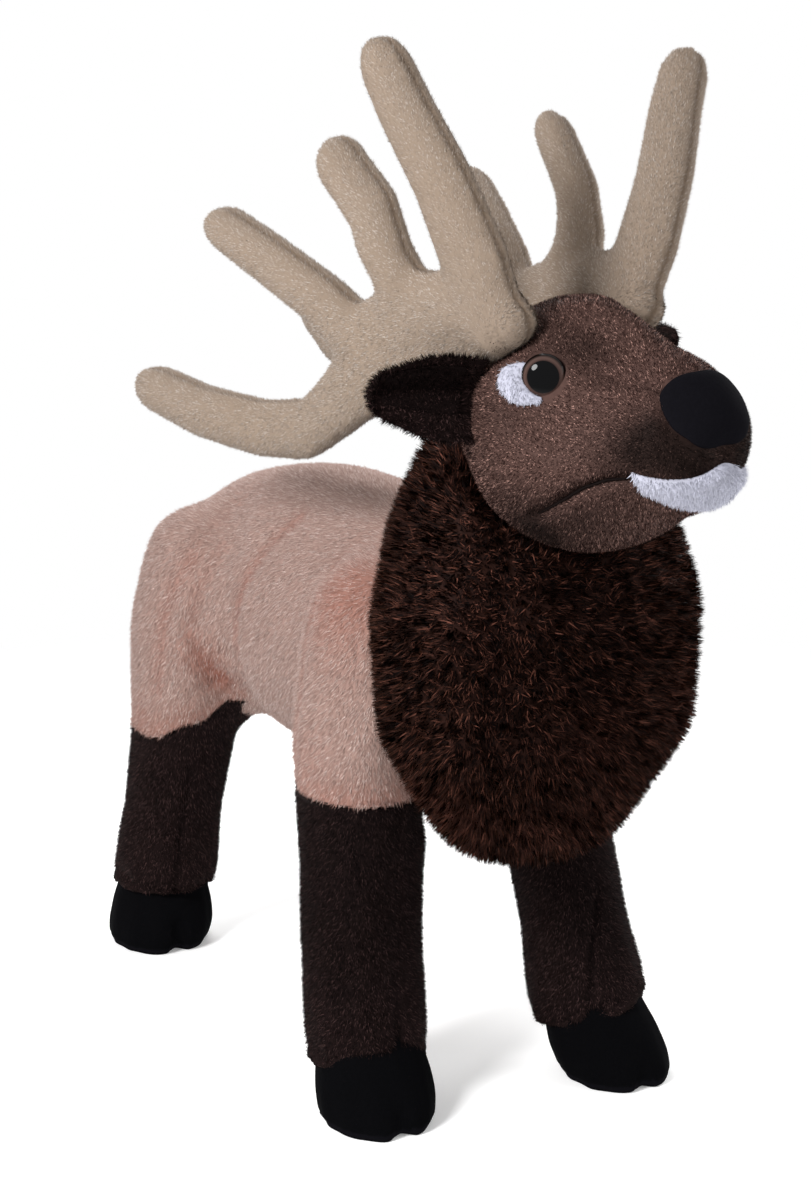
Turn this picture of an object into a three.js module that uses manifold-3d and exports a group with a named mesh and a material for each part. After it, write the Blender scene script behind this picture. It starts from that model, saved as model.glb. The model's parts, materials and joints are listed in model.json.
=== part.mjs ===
// A standing plush bull elk with its head turned to its left, in millimetres: +Z up, it faces -Y.
// Every sewn skin is a thin shell over its own stuffing; narrow seam gaps keep neighbouring
// pieces apart where the cloth really touches.
import * as THREE from 'three';
import { mergeVertices } from 'three/addons/utils/BufferGeometryUtils.js';
import Module from 'manifold-3d';

const wasm = await Module();
wasm.setup();

// Clearances and cloth
const seamGap = 0.3;              // between two sewn pieces that touch
const turnGap = 0.5;              // round a form that turns in a hollow
const clothThick = 2.0;           // short plush with its pile
const shagThick = 8.0;            // long shaggy pile of the mane
const overrun = 60;               // how far every cutting block runs past what it cuts
const mergeReach = 1e-4;          // corners closer than this are one
const skullRoomGap = 1.5;         // round the skull that turns in the mane's hollow
const largeDomeTurns = [35, 65];  // degrees of the rings between a large dome's rim and its pole
const smallDomeTurns = [50];

// Stance
const foreHoofAt = 84;            // ahead of the middle of the stance
const hindHoofAt = 97;            // behind it
const hoofTrack = 88;             // left to right hoof centres
const leadStep = 5;               // the left fore hoof stands this much further forward
const hipHeight = 150;

// Torso
const chestFront = 96;            // torso front, ahead of the middle of the stance
const rumpBack = 106;             // torso end, behind the middle of the stance
const torsoHalfWidth = 44;
const torsoHalfHeight = 50;
const torsoDrop = 8;              // torso middle below the hip axis
const torsoMiddleHeight = hipHeight - torsoDrop;
const torsoCoreHalf = 24;         // half width that is left between the two pads of a leg pair
const bellyDrop = 39;             // upper edge of the belly gusset below the torso middle
const torsoRings = { outer: { steps: 8, around: 18 }, inner: { steps: 5, around: 10 } };
const torsoShares = [             // along, rise of the middle, half width, half height
  [0.06, 0.16, 0.86, 0.72],
  [0.20, 0.10, 0.94, 0.88],
  [0.38, 0.02, 0.98, 1.00],
  [0.57, 0.00, 1.00, 1.02],
  [0.77, -0.04, 1.00, 0.94],
  [0.90, -0.06, 0.88, 0.80],
];

// Legs: pads at the shoulder and haunch, dark sleeves, black hooves
const frontHip = { out: 28, along: -58, reach: 25, radius: 31, dome: 31, bow: 6, sleeveDrop: 49 };
const rearHip = { out: 31, along: 66, reach: 27.5, radius: 37, dome: 24, bow: 2, sleeveDrop: 66 };
const sleeveHalf = 19.2;          // half width of the leg tube
const sleeveHalfLong = 20.2;      // half length of the leg tube, front to back
const cuffFlare = 1.9;
const cuffHeight = 23;            // lower edge of the sleeve above the ground
const legSwing = 8;               // degrees each way that a sewn hip gives
const swingRoom = 2;              // spare room in the neck for a leg that swings forward
const fullLegRadius = 60;         // from the hip axis, where the leg is whole on its inner side
const innerLegRoom = 9.5;         // the neck keeps inside this half width between the legs
const innerRoomTurn = 34;         // degrees below level, seen from the hip, where that room starts
const innerRoomAhead = 30;        // and how far it may reach ahead of the pad
const legRings = { outer: { steps: 5, around: 12 }, inner: { steps: 4, around: 10 } };
frontHip.taperShares = [          // down from hip to cuff, how much of the pad is left
  [0.00, 1.00],
  [0.19, 0.84],
  [0.38, 0.38],
  [0.55, 0.08],
  [0.78, 0.00],
  [1.00, 0.00],
];
rearHip.taperShares = [
  [0.00, 0.75],
  [0.17, 0.82],
  [0.34, 0.50],
  [0.50, 0.14],
  [0.75, 0.00],
  [1.00, 0.00],
];

// Hooves
const hoofHalfWidth = 19.5;
const hoofHalfLength = 22.5;
const hoofForward = 3.5;          // the toe stands ahead of the leg's middle
const hoofTop = 31;               // the boot runs up inside the cuff
const solePanelThick = 1.6;
const cleftWidth = 4;
const cleftDepth = 13;
const cleftHeight = 15;
const hoofAround = 12;
const hoofShares = [              // height, forward, half width, half length
  [1.00, 0.00, 0.83, 0.76],
  [0.74, 0.10, 0.86, 0.79],
  [0.50, 0.60, 0.95, 0.91],
  [0.22, 1.00, 1.00, 1.00],
];
const hoofFootShares = [0.95, 0.96];  // half width and half length at the sole

// Mane: long-pile skin over the neck and chest
const maneDrop = 54;              // lower end below the torso middle
const maneLift = 84;              // nape end above it
const maneHalfWidth = 52;
const maneHalfDepth = 42;
const maneMiddle = 110;           // ahead of the middle of the stance
const maneRings = { outer: { steps: 6, around: 18 }, inner: { steps: 4, around: 10 } };
const maneShares = [              // height, forward, half width, half depth
  [0.13, -0.02, 0.62, 0.62],
  [0.30, 0.04, 0.88, 0.92],
  [0.50, 0.06, 1.00, 1.00],
  [0.72, 0.00, 0.96, 0.98],
  [0.86, -0.12, 0.84, 0.88],
  [0.97, -0.24, 0.64, 0.66],
];

// Head, in its own frame: the middle of the round skull, facing -Y
const headForward = 138;          // skull middle ahead of the middle of the stance
const headLift = 92;              // skull middle above the torso middle
const headHeight = torsoMiddleHeight + headLift;
const headTurn = 13;              // degrees, towards its left
const skullRadius = 39.5;
const muzzleReach = 58;           // skull middle to the front of the muzzle
const headRings = { outer: { steps: 8, around: 18 }, inner: { steps: 6, around: 14 } };
const rearTuckShare = 0.5;        // of the first ring's distance, that the rear dome is drawn in by
const headShares = [              // along in muzzle reaches; rise, half width, half height in skull radii
  [0.41, 0.04, 0.71, 0.74],
  [0.17, 0.02, 0.94, 0.95],
  [-0.10, 0.00, 0.99, 0.98],
  [-0.41, 0.03, 0.84, 0.82],
  [-0.60, 0.06, 0.64, 0.63],
];
const mouthShares = [             // along in muzzle reaches, height in skull radii
  [0.60, -1.04],
  [-0.20, -0.52],
  [-0.60, -0.22],
  [-1.30, -0.30],
];
const lipShares = [
  [-0.62, -0.235],
  [-0.66, -0.22],
  [-1.30, -0.30],
  [-1.30, -0.66],
  [-0.84, -0.56],
];
const lipProud = 1.2;
const noseShares = [              // across and height, in skull radii
  [0.30, 0.62],
  [0.43, 0.44],
  [0.42, 0.24],
  [0.20, 0.02],
  [0.06, -0.10],
];
const noseBackShare = 0.72;       // how far back the nose patch may reach, in muzzle reaches
const noseProud = 1.4;
const gussetShares = [            // across in skull radii, along in muzzle reaches
  [0.30, -1.00],
  [0.32, -0.79],
  [0.52, -0.42],
  [0.50, -0.20],
  [0.20, 0.10],
];
const gussetFloorShare = 0.3;     // the forehead gusset stays above this, in skull radii

// Eyes
const eyeAlongShare = -0.25;      // in muzzle reaches
const eyeRaise = 32;              // degrees above the side of the head
const eyeToe = 12;                // degrees that the eye looks forward of square
const eyeRadius = 6.6;
const eyeDome = 4.2;
const eyeFlange = 0.8;
const shankRadius = 1.8;
const shankLength = 14;
const washerRadius = 7;
const washerThick = 1.2;
const washerDrop = 2.0;           // below the cloth, whose inner face curves away
const eyeWhiteHalfLength = 9.5;
const eyeWhiteHalfWidth = 6.5;
const eyeWhiteSlip = 6.5;         // patch middle away from the eye's middle
const eyeWhiteTurn = 28;          // degrees that the patch leans down at the back
const eyeWhiteThick = 0.9;

// Ears
const earBackTurn = 20;           // degrees that the hinge line lies behind square to the head
const earRise = 9;
const earLength = 31;
const earHalfWidth = 13.5;
const earHalfThick = 4.6;
const earTurn = 30;               // degrees that the ear leans back
const earWall = 1.6;
const earSeatShare = 0.931;       // the head's round at the ear, in skull radii
const earAround = 10;
const earSteps = 4;
const earShares = [               // along, half width, half thickness
  [0.00, 0.58, 0.75],
  [0.22, 0.88, 1.00],
  [0.45, 1.00, 1.00],
  [0.70, 0.84, 0.85],
  [0.86, 0.58, 0.62],
];

// Antlers, each in its own frame: the sewn fan lies in the plane x = 0
const antlerOut = 26;             // foot middle from the skull middle
const antlerBack = 10.5;
const antlerRise = 28.4;
const antlerLean = 20.4;          // degrees outward
const antlerSplay = 6.5;          // degrees that the fan opens to the rear
const antlerSet = { left: { lean: 9.2, pitch: 4.1 }, right: { lean: -9.2, pitch: -4.1 } };
const fanReach = 158;             // foot to the tip of the rear tine
const fanRise = 82;               // foot to the top ring of the front tine
const fanHalfThick = 8.2;
const footLength = 30;
const footSlope = 26;             // degrees that the foot drops to the rear
const footAround = 12;
const tineCutLift = 0.01;         // keeps the cut under the bent tine clear of the tine's own rim
const antlerAround = 10;
const antlerInnerAround = 6;
const velvetThick = 1.6;
const tineBend = 0.36;            // the second tine leans in towards its twin by this slope
const tineBendShare = 0.305;      // from this share of the fan's rise up, where it stands free
const tineRoomShares = [          // the free second tine lies inside this outline, in the fan's shares
  [0.13, tineBendShare],
  [0.38, tineBendShare],
  [0.475, 0.61],
  [0.57, 0.86],
  [0.25, 1.10],
  [0.20, 0.70],
];
const beamShares = [              // back, up (in fan reach and fan rise), half width in fan thickness
  [0.00, 0.06, 1.60],
  [0.12, 0.05, 2.00],
  [0.24, -0.014, 2.13],
  [0.35, -0.155, 1.60],
  [0.47, -0.36, 1.40],
  [0.59, -0.42, 1.26],
  [0.73, -0.4, 1.22],
  [0.88, -0.34, 1.14],
  [0.99, -0.26, 1.00],
];
const frontTineShares = [
  [0.00, -0.14, 1.60],
  [0.02, 0.22, 1.55],
  [0.04, 0.44, 1.38],
  [0.09, 0.66, 1.26],
  [0.13, 0.86, 1.14],
  [0.15, 0.98, 1.02],
];
const secondTineShares = [
  [0.22, -0.07, 1.40],
  [0.215, 0.15, 1.15],
  [0.24, 0.32, 1.02],
  [0.30, 0.49, 0.98],
  [0.38, 0.62, 0.90],
];
const thirdTineShares = [
  [0.31, -0.12, 1.45],
  [0.40, 0.06, 1.16],
  [0.50, 0.19, 1.06],
  [0.61, 0.33, 1.00],
  [0.67, 0.4, 0.90],
];

// Tail
const tailLength = 34;
const tailHalfWidth = 9;
const tailHalfThick = 3.6;
const tailTurn = 35;              // degrees down the rump's dome where the tail is sewn
const tailDroop = 24;             // degrees that it stands off the rump
const tailSeatGap = 0.4;
const tailAround = 10;
const tailSteps = 4;
const tailShares = [              // along, half width, half thickness
  [0.00, 0.62, 0.85],
  [0.30, 0.90, 1.00],
  [0.60, 1.00, 0.95],
  [0.84, 0.66, 0.70],
];

const across = new THREE.Vector3(1, 0, 0);
const downward = new THREE.Vector3(0, 0, -1);
const deg = THREE.MathUtils.degToRad;

// A closed triangle mesh becomes a solid; one that comes out inside out is turned round.
function solidFrom(positions, triangles) {
  let volume = 0;
  const corner = (index) => new THREE.Vector3().fromArray(positions, 3 * index);
  for (let i = 0; i < triangles.length; i += 3) {
    const [a, b, c] = [0, 1, 2].map((k) => corner(triangles[i + k]));
    volume += a.dot(b.cross(c));
  }
  const facing = volume < 0 ? triangles.slice().reverse() : triangles;
  return new wasm.Manifold(new wasm.Mesh({
    numProp: 3,
    vertProperties: new Float32Array(positions),
    triVerts: new Uint32Array(facing),
  }));
}

// A three.js geometry becomes a solid once only its places are left and its corners are merged.
function solidOf(geometry, matrix = new THREE.Matrix4()) {
  const bare = geometry.clone();
  bare.deleteAttribute('normal');
  bare.deleteAttribute('uv');
  const merged = mergeVertices(bare.applyMatrix4(matrix), mergeReach);
  const corners = Array.from(merged.index.array);
  const whole = corners.filter((_, i) => {
    const [a, b, c] = corners.slice(i - (i % 3), i - (i % 3) + 3);
    return a !== b && b !== c && c !== a;
  });
  return solidFrom(Array.from(merged.attributes.position.array), whole);
}

// The same solid under a change of place, or with its corners moved one by one.
function moved(solid, place) {
  const mesh = solid.getMesh();
  const positions = Array.from(mesh.vertProperties);
  const point = new THREE.Vector3();
  for (let i = 0; i < positions.length; i += 3) {
    point.fromArray(positions, i);
    place(point);
    point.toArray(positions, i);
  }
  return solidFrom(positions, Array.from(mesh.triVerts));
}

const placed = (solid, matrix) => moved(solid, (point) => point.applyMatrix4(matrix));
const mirrored = (solid) => moved(solid, (point) => point.setX(-point.x));
const joined = (solids) => solids.reduce((whole, next) => whole.add(next));

// The main body of a cut solid, without the slivers left where curved forms cross
const mainBody = (solid) => solid.decompose().reduce(
  (best, next) => (next.volume() > best.volume() ? next : best));

function cleanGeometry(solid) {
  const mesh = solid.getMesh();
  const geometry = new THREE.BufferGeometry();
  geometry.setAttribute('position', new THREE.BufferAttribute(new Float32Array(mesh.vertProperties), 3));
  geometry.setIndex(new THREE.BufferAttribute(new Uint32Array(mesh.triVerts), 1));
  geometry.computeVertexNormals();
  return geometry;
}

function piece(name, solid, look) {
  const mesh = new THREE.Mesh(cleanGeometry(solid), look);
  mesh.name = name;
  return mesh;
}

const shifted = (solid, by) => moved(solid, (point) => point.add(by));

// A box between two corners, for cutting
function block(low, high) {
  const size = new THREE.Vector3().subVectors(high, low);
  const middle = new THREE.Vector3().addVectors(low, high).divideScalar(2);
  return solidOf(new THREE.BoxGeometry(size.x, size.y, size.z), new THREE.Matrix4().setPosition(middle));
}

// An outline in the side view (y along, z up), run across from one x to another
function sidePrism(points, fromX, toX) {
  const shape = new THREE.Shape(points.map(([y, z]) => new THREE.Vector2(y, z)));
  const geometry = new THREE.ExtrudeGeometry(shape, { depth: toX - fromX, bevelEnabled: false });
  const basis = new THREE.Matrix4().makeBasis(
    new THREE.Vector3(0, 1, 0), new THREE.Vector3(0, 0, 1), new THREE.Vector3(1, 0, 0));
  return solidOf(geometry, basis.setPosition(fromX, 0, 0));
}

// Oval rings carried along a smooth spine and closed by a dome at each end. A row holds a middle,
// a half width along x and a half height square to x and to the spine; inset draws it all in.
// A given run keeps every ring square to that direction instead of to the spine.
function ovalForm({ rows, domes, steps, around, run = null, inset = 0, domeTurns = largeDomeTurns }) {
  const spine = new THREE.CatmullRomCurve3(rows.map((row) => row.middle));
  const sizes = new THREE.CatmullRomCurve3(rows.map((row) => new THREE.Vector3(row.half, row.tall, 0)));
  const rings = [];
  for (let i = 0; i <= steps; i += 1) {
    const share = i / steps;
    const size = sizes.getPoint(share);
    rings.push({
      middle: spine.getPoint(share),
      run: run ?? spine.getTangent(share),
      half: size.x - inset,
      tall: size.y - inset,
    });
  }
  const ends = [{ ring: rings[0], sign: -1 }, { ring: rings[steps], sign: 1 }];
  const caps = ends.map(({ ring, sign }, end) => {
    const reach = Math.max(domes[end] - inset, 0);
    const turns = reach > 0 ? domeTurns : [];
    const domeRings = turns.map((turn) => ({
      middle: ring.middle.clone().addScaledVector(ring.run, sign * reach * Math.sin(deg(turn))),
      run: ring.run,
      half: ring.half * Math.cos(deg(turn)),
      tall: ring.tall * Math.cos(deg(turn)),
    }));
    return { domeRings, pole: ring.middle.clone().addScaledVector(ring.run, sign * reach) };
  });
  const all = [...caps[0].domeRings.reverse(), ...rings, ...caps[1].domeRings];
  const positions = [];
  for (const ring of all) {
    const up = new THREE.Vector3().crossVectors(across, ring.run).normalize();
    for (let k = 0; k < around; k += 1) {
      const angle = (2 * Math.PI * k) / around;
      const point = ring.middle.clone()
        .addScaledVector(across, ring.half * Math.cos(angle))
        .addScaledVector(up, ring.tall * Math.sin(angle));
      positions.push(...point.toArray());
    }
  }
  const firstPole = positions.length / 3;
  positions.push(...caps[0].pole.toArray(), ...caps[1].pole.toArray());
  const triangles = [];
  for (let r = 0; r < all.length - 1; r += 1) {
    for (let k = 0; k < around; k += 1) {
      const a = r * around + k;
      const b = r * around + ((k + 1) % around);
      triangles.push(a, b, b + around, a, b + around, a + around);
    }
  }
  const last = (all.length - 1) * around;
  for (let k = 0; k < around; k += 1) {
    const next = (k + 1) % around;
    triangles.push(firstPole, next, k, firstPole + 1, last + k, last + next);
  }
  return solidFrom(positions, triangles);
}

// A form's hidden inner surface has fewer facets than its outer one
const ringsFor = (rings, inset) => (inset > 0 ? rings.inner : rings.outer);

// Left and right halves of a skin, parted along the middle seam
function halves(skin, far) {
  const left = block(new THREE.Vector3(seamGap / 2, -far, -far), new THREE.Vector3(far, far, far));
  const right = block(new THREE.Vector3(-far, -far, -far), new THREE.Vector3(-seamGap / 2, far, far));
  return { left: skin.intersect(left), right: skin.intersect(right) };
}

const farOut = chestFront + rumpBack + headForward + headHeight + overrun;

// Torso form, chest inside the mane to rump
function torsoForm(inset) {
  const length = chestFront + rumpBack;
  const rows = torsoShares.map(([along, rise, wide, tall]) => ({
    middle: new THREE.Vector3(0, along * length - chestFront, torsoMiddleHeight + rise * torsoHalfHeight),
    half: wide * torsoHalfWidth,
    tall: tall * torsoHalfHeight,
  }));
  const domes = [torsoShares[0][0] * length, (1 - torsoShares.at(-1)[0]) * length];
  return ovalForm({ rows, domes, inset, ...ringsFor(torsoRings, inset) });
}

// Mane form, from the breast up to the nape
function maneForm(inset) {
  const tall = maneDrop + maneLift;
  const bottom = torsoMiddleHeight - maneDrop;
  const rows = maneShares.map(([rise, forward, wide, deep]) => ({
    middle: new THREE.Vector3(0, -maneMiddle - forward * maneHalfDepth, bottom + rise * tall),
    half: wide * maneHalfWidth,
    tall: deep * maneHalfDepth,
  }));
  const domes = [maneShares[0][0] * tall, (1 - maneShares.at(-1)[0]) * tall];
  return ovalForm({ rows, domes, inset, ...ringsFor(maneRings, inset) });
}

// Head form, round skull to blunt muzzle, in the head's frame
function headForm(inset) {
  const rows = headShares.map(([along, rise, wide, tall]) => ({
    middle: new THREE.Vector3(0, along * muzzleReach, rise * skullRadius),
    half: wide * skullRadius,
    tall: tall * skullRadius,
  }));
  const rearDome = Math.sqrt(skullRadius ** 2 - (headShares[0][3] * skullRadius) ** 2)
    - headShares[0][0] * muzzleReach * rearTuckShare;
  const domes = [rearDome, (1 + headShares.at(-1)[0]) * muzzleReach];
  return ovalForm({ rows, domes, inset, ...ringsFor(headRings, inset) });
}

// The four legs: where each hip and cuff lies
const legs = [
  { name: 'front_left', side: 1, hip: frontHip, foot: -foreHoofAt - leadStep },
  { name: 'front_right', side: -1, hip: frontHip, foot: -foreHoofAt },
  { name: 'rear_left', side: 1, hip: rearHip, foot: hindHoofAt },
  { name: 'rear_right', side: -1, hip: rearHip, foot: hindHoofAt },
];

const hipPoint = (leg) => new THREE.Vector3(leg.side * leg.hip.out, leg.hip.along, hipHeight);
const footPoint = (leg) => new THREE.Vector3(leg.side * hoofTrack / 2, leg.foot, 0);

function legMiddle(leg, height) {
  const share = (hipHeight - height) / hipHeight;
  const middle = hipPoint(leg).lerp(footPoint(leg), share);
  middle.y += leg.hip.bow * Math.sin(Math.PI * share);
  return middle;
}

// Leg form from the round pad at the hip down to the cuff
function legForm(leg, inset) {
  const rows = leg.hip.taperShares.map(([down, pad], index) => {
    const height = hipHeight - down * (hipHeight - cuffHeight);
    const flare = index === leg.hip.taperShares.length - 1 ? cuffFlare : 0;
    return {
      middle: legMiddle(leg, height),
      half: sleeveHalf + pad * (leg.hip.reach - sleeveHalf) + flare,
      tall: sleeveHalfLong + pad * (leg.hip.radius - sleeveHalfLong) + flare,
    };
  });
  const domes = [leg.hip.dome, 0];
  return ovalForm({ rows, domes, run: downward, inset, ...ringsFor(legRings, inset) });
}

// The room that a swinging leg needs in its neighbour: a round pad with a flared skirt below it
function hipRoom(leg, gap) {
  const radius = leg.hip.radius + gap;
  const drop = hipHeight - cuffHeight;
  const lean = (leg.hip.along - leg.foot) / hipHeight;
  const swing = Math.tan(deg(legSwing));
  const skirt = (sign) => {
    const bottom = sign * (sleeveHalfLong + swing * drop + swingRoom) - lean * drop;
    return sign * Math.max(sign * bottom, radius);
  };
  const points = [];
  const facets = 12;
  for (let i = 0; i <= facets; i += 1) {
    const angle = (Math.PI * i) / facets;
    const reach = radius / Math.cos(Math.PI / facets / 2);
    points.push([leg.hip.along + reach * Math.cos(angle), hipHeight + reach * Math.sin(angle)]);
  }
  points.push([leg.hip.along + skirt(-1), cuffHeight], [leg.hip.along + skirt(1), cuffHeight]);
  const inner = torsoCoreHalf;
  const outer = torsoHalfWidth + overrun;
  return leg.side > 0 ? sidePrism(points, inner, outer) : sidePrism(points, -outer, -inner);
}

// Below the pad the neck stays further in, because there the leg is whole on its inner side
function innerRoom(leg) {
  const top = hipHeight - fullLegRadius * Math.cos(deg(legSwing + innerRoomTurn)) + swingRoom;
  const front = leg.hip.along - leg.hip.radius - innerRoomAhead;
  const lean = (leg.hip.along - leg.foot) / hipHeight;
  const swing = Math.tan(deg(legSwing));
  const edge = (height) => leg.hip.along - (hipHeight - height) * (lean + swing)
    - sleeveHalfLong - cuffFlare - swingRoom;
  const points = [
    [edge(top), top],
    [Math.max(edge(0), front), 0],
    [leg.hip.along + overrun, 0],
    [leg.hip.along + overrun, top],
  ];
  const outer = maneHalfWidth + overrun;
  return leg.side > 0 ? sidePrism(points, innerLegRoom, outer) : sidePrism(points, -outer, -innerLegRoom);
}

// What a leg must keep out of: the torso's core beside the hip
function coreBlock(leg) {
  const width = (torsoCoreHalf + seamGap) * 2;
  const geometry = new THREE.CylinderGeometry(fullLegRadius, fullLegRadius, width, 20);
  const place = new THREE.Matrix4().makeRotationZ(Math.PI / 2).setPosition(0, leg.hip.along, hipHeight);
  return solidOf(geometry, place);
}

const above = (height) => block(
  new THREE.Vector3(-farOut, -farOut, height), new THREE.Vector3(farOut, farOut, farOut));
const below = (height) => block(
  new THREE.Vector3(-farOut, -farOut, -farOut), new THREE.Vector3(farOut, farOut, height));

// Finishes
const peachPlush = new THREE.MeshStandardMaterial({ color: 0xd9a98c, roughness: 0.95, metalness: 0 });
const darkPlush = new THREE.MeshStandardMaterial({ color: 0x32201b, roughness: 0.95, metalness: 0 });
const headPlush = new THREE.MeshStandardMaterial({ color: 0x4b302a, roughness: 0.95, metalness: 0 });
const shagPlush = new THREE.MeshStandardMaterial({ color: 0x2a130c, roughness: 1, metalness: 0 });
const creamPlush = new THREE.MeshStandardMaterial({ color: 0xd8c3a4, roughness: 0.95, metalness: 0 });
const blackPlush = new THREE.MeshStandardMaterial({ color: 0x0b0b0e, roughness: 0.9, metalness: 0 });
const whitePlush = new THREE.MeshStandardMaterial({ color: 0xe9e9ee, roughness: 0.95, metalness: 0 });
const stuffing = new THREE.MeshStandardMaterial({ color: 0xf2f2ee, roughness: 1, metalness: 0 });
const eyePlastic = new THREE.MeshStandardMaterial({ color: 0x1a1110, roughness: 0.1, metalness: 0 });
const washerPlastic = new THREE.MeshStandardMaterial({ color: 0xdedede, roughness: 0.5, metalness: 0 });

const deer = new THREE.Group();

// Torso: two back panels, a belly gusset and the stuffing
function buildTorso() {
  const rooms = joined(legs.map((leg) => hipRoom(leg, turnGap)));
  const skin = torsoForm(0).subtract(torsoForm(clothThick)).subtract(rooms);
  const bellyTop = torsoMiddleHeight - bellyDrop;
  const upper = halves(skin.intersect(above(bellyTop + seamGap)), farOut);
  return [
    piece('back_panel_left', upper.left, peachPlush),
    piece('back_panel_right', upper.right, peachPlush),
    piece('belly_gusset', skin.intersect(below(bellyTop)), peachPlush),
    piece('torso_stuffing', torsoForm(clothThick + seamGap).subtract(rooms), stuffing),
  ];
}

// Mane and neck, cut by the torso, the fore legs' room and the turning skull
function buildMane() {
  const frontLegs = legs.filter((leg) => leg.hip === frontHip);
  const skull = solidOf(
    new THREE.SphereGeometry(skullRadius + skullRoomGap, 18, 9),
    new THREE.Matrix4().makeRotationX(Math.PI / 2).setPosition(0, -headForward, headHeight));
  const keepOut = joined([
    torsoForm(-seamGap),
    skull,
    ...frontLegs.map((leg) => hipRoom(leg, turnGap)),
    ...frontLegs.map((leg) => innerRoom(leg)),
  ]);
  const skin = maneForm(0).subtract(maneForm(shagThick)).subtract(keepOut);
  const panels = halves(skin, farOut);
  return [
    piece('mane_left', panels.left, shagPlush),
    piece('mane_right', panels.right, shagPlush),
    piece('neck_stuffing', maneForm(shagThick + seamGap).subtract(keepOut), stuffing),
  ];
}

// One leg about its hip: pad skin, sleeve, stuffing, hoof boot and sole panel
function buildLeg(leg) {
  const group = new THREE.Group();
  const core = coreBlock(leg);
  const outer = legForm(leg, 0);
  const inner = legForm(leg, clothThick);
  const skin = outer.subtract(inner).subtract(core);
  const padName = leg.hip === frontHip ? 'shoulder' : 'haunch';
  const filling = legForm(leg, clothThick + seamGap).intersect(above(hoofTop + seamGap)).subtract(core);
  const hoof = hoofForm(leg);
  const hip = hipPoint(leg);
  const back = hip.clone().negate();
  const own = (name, solid, look) => piece(`${leg.name}_${name}`, shifted(solid, back), look);
  const sleeveTop = hipHeight - leg.hip.sleeveDrop;
  group.add(
    own(padName, skin.intersect(above(sleeveTop + seamGap)), peachPlush),
    own('sleeve', skin.intersect(below(sleeveTop)), darkPlush),
    own('stuffing', filling, stuffing),
    own('hoof', hoof.boot, blackPlush),
    own('sole', hoof.sole, blackPlush),
  );
  group.name = `${leg.name}_pivot`;
  group.position.copy(hip);
  return group;
}

// Hoof boot with a cloven toe, on a flat sole panel
function hoofForm(leg) {
  const foot = footPoint(leg);
  const floor = solePanelThick + seamGap;
  const rows = hoofShares.map(([rise, forward, wide, long]) => {
    const height = floor + rise * (hoofTop - floor);
    const middle = legMiddle(leg, height);
    return {
      middle: new THREE.Vector3(middle.x, middle.y - forward * hoofForward, height),
      half: wide * hoofHalfWidth,
      tall: long * hoofHalfLength,
    };
  });
  const [soleWide, soleLong] = hoofFootShares;
  const soleRow = (height) => ({
    middle: new THREE.Vector3(foot.x, foot.y - hoofForward, height),
    half: soleWide * hoofHalfWidth,
    tall: soleLong * hoofHalfLength,
  });
  rows.push(soleRow(floor));
  const toe = foot.y - hoofForward - hoofHalfLength;
  const plan = new THREE.Shape([
    new THREE.Vector2(-cleftWidth / 2 - cleftWidth, toe - cleftDepth),
    new THREE.Vector2(cleftWidth / 2 + cleftWidth, toe - cleftDepth),
    new THREE.Vector2(0, toe + cleftDepth),
  ]);
  const cleft = solidOf(
    new THREE.ExtrudeGeometry(plan, { depth: cleftHeight + overrun, bevelEnabled: false }),
    new THREE.Matrix4().setPosition(foot.x, 0, -overrun));
  const level = { domes: [0, 0], around: hoofAround, run: downward };
  const boot = ovalForm({ rows, steps: 4, ...level });
  const sole = ovalForm({ rows: [soleRow(solePanelThick), soleRow(0)], steps: 1, ...level });
  return { boot: boot.subtract(cleft), sole: sole.subtract(cleft) };
}

// Outward direction and place of an eye on the head form, for the left side
function eyeSeat() {
  const along = eyeAlongShare * muzzleReach;
  const rows = headShares;
  let index = rows.findIndex((row) => row[0] < eyeAlongShare);
  const share = (rows[index - 1][0] - eyeAlongShare) / (rows[index - 1][0] - rows[index][0]);
  const mix = (column) => THREE.MathUtils.lerp(rows[index - 1][column], rows[index][column], share);
  const wide = mix(2) * skullRadius;
  const tall = mix(3) * skullRadius;
  const lift = deg(eyeRaise);
  const height = mix(1) * skullRadius + tall * Math.sin(lift);
  const place = new THREE.Vector3(wide * Math.cos(lift), along, height);
  const toe = -Math.sin(deg(eyeToe)) / wide;
  const facing = new THREE.Vector3(Math.cos(lift) / wide, toe, Math.sin(lift) / tall);
  return { place, facing: facing.normalize() };
}

// Frame at the eye: y points out of the head
function eyeFrame() {
  const { place, facing } = eyeSeat();
  const forward = new THREE.Vector3(0, -1, 0).addScaledVector(facing, facing.y).normalize();
  const third = new THREE.Vector3().crossVectors(forward, facing);
  return new THREE.Matrix4().makeBasis(forward, facing, third).setPosition(place);
}

// A turned solid from points of its half section (radius, height)
function ringSolid(points, facets) {
  return solidOf(new THREE.LatheGeometry(points.map(([x, y]) => new THREE.Vector2(x, y)), facets));
}

// Safety eye: glossy dome, thin flange and a shank that the washer grips
function eyeForm() {
  const profile = [[0, -shankLength], [shankRadius, -shankLength], [shankRadius, 0],
    [eyeRadius, 0], [eyeRadius, eyeFlange]];
  const domeSteps = 3;
  for (let i = 1; i <= domeSteps; i += 1) {
    const turn = (Math.PI / 2) * (i / domeSteps);
    const radius = i === domeSteps ? 0 : eyeRadius * Math.cos(turn);
    profile.push([radius, eyeFlange + (eyeDome - eyeFlange) * Math.sin(turn)]);
  }
  return ringSolid(profile, 14);
}

function ringForm(inner, outer, from, to, facets) {
  return ringSolid([[inner, from], [outer, from], [outer, to], [inner, to], [inner, from]], facets);
}

// Pieces that follow the head's surface: the slab between two insets, inside a cutter
function surfacePatch(proud, deep, cutter) {
  return headForm(-proud).subtract(headForm(deep)).intersect(cutter);
}

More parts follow.
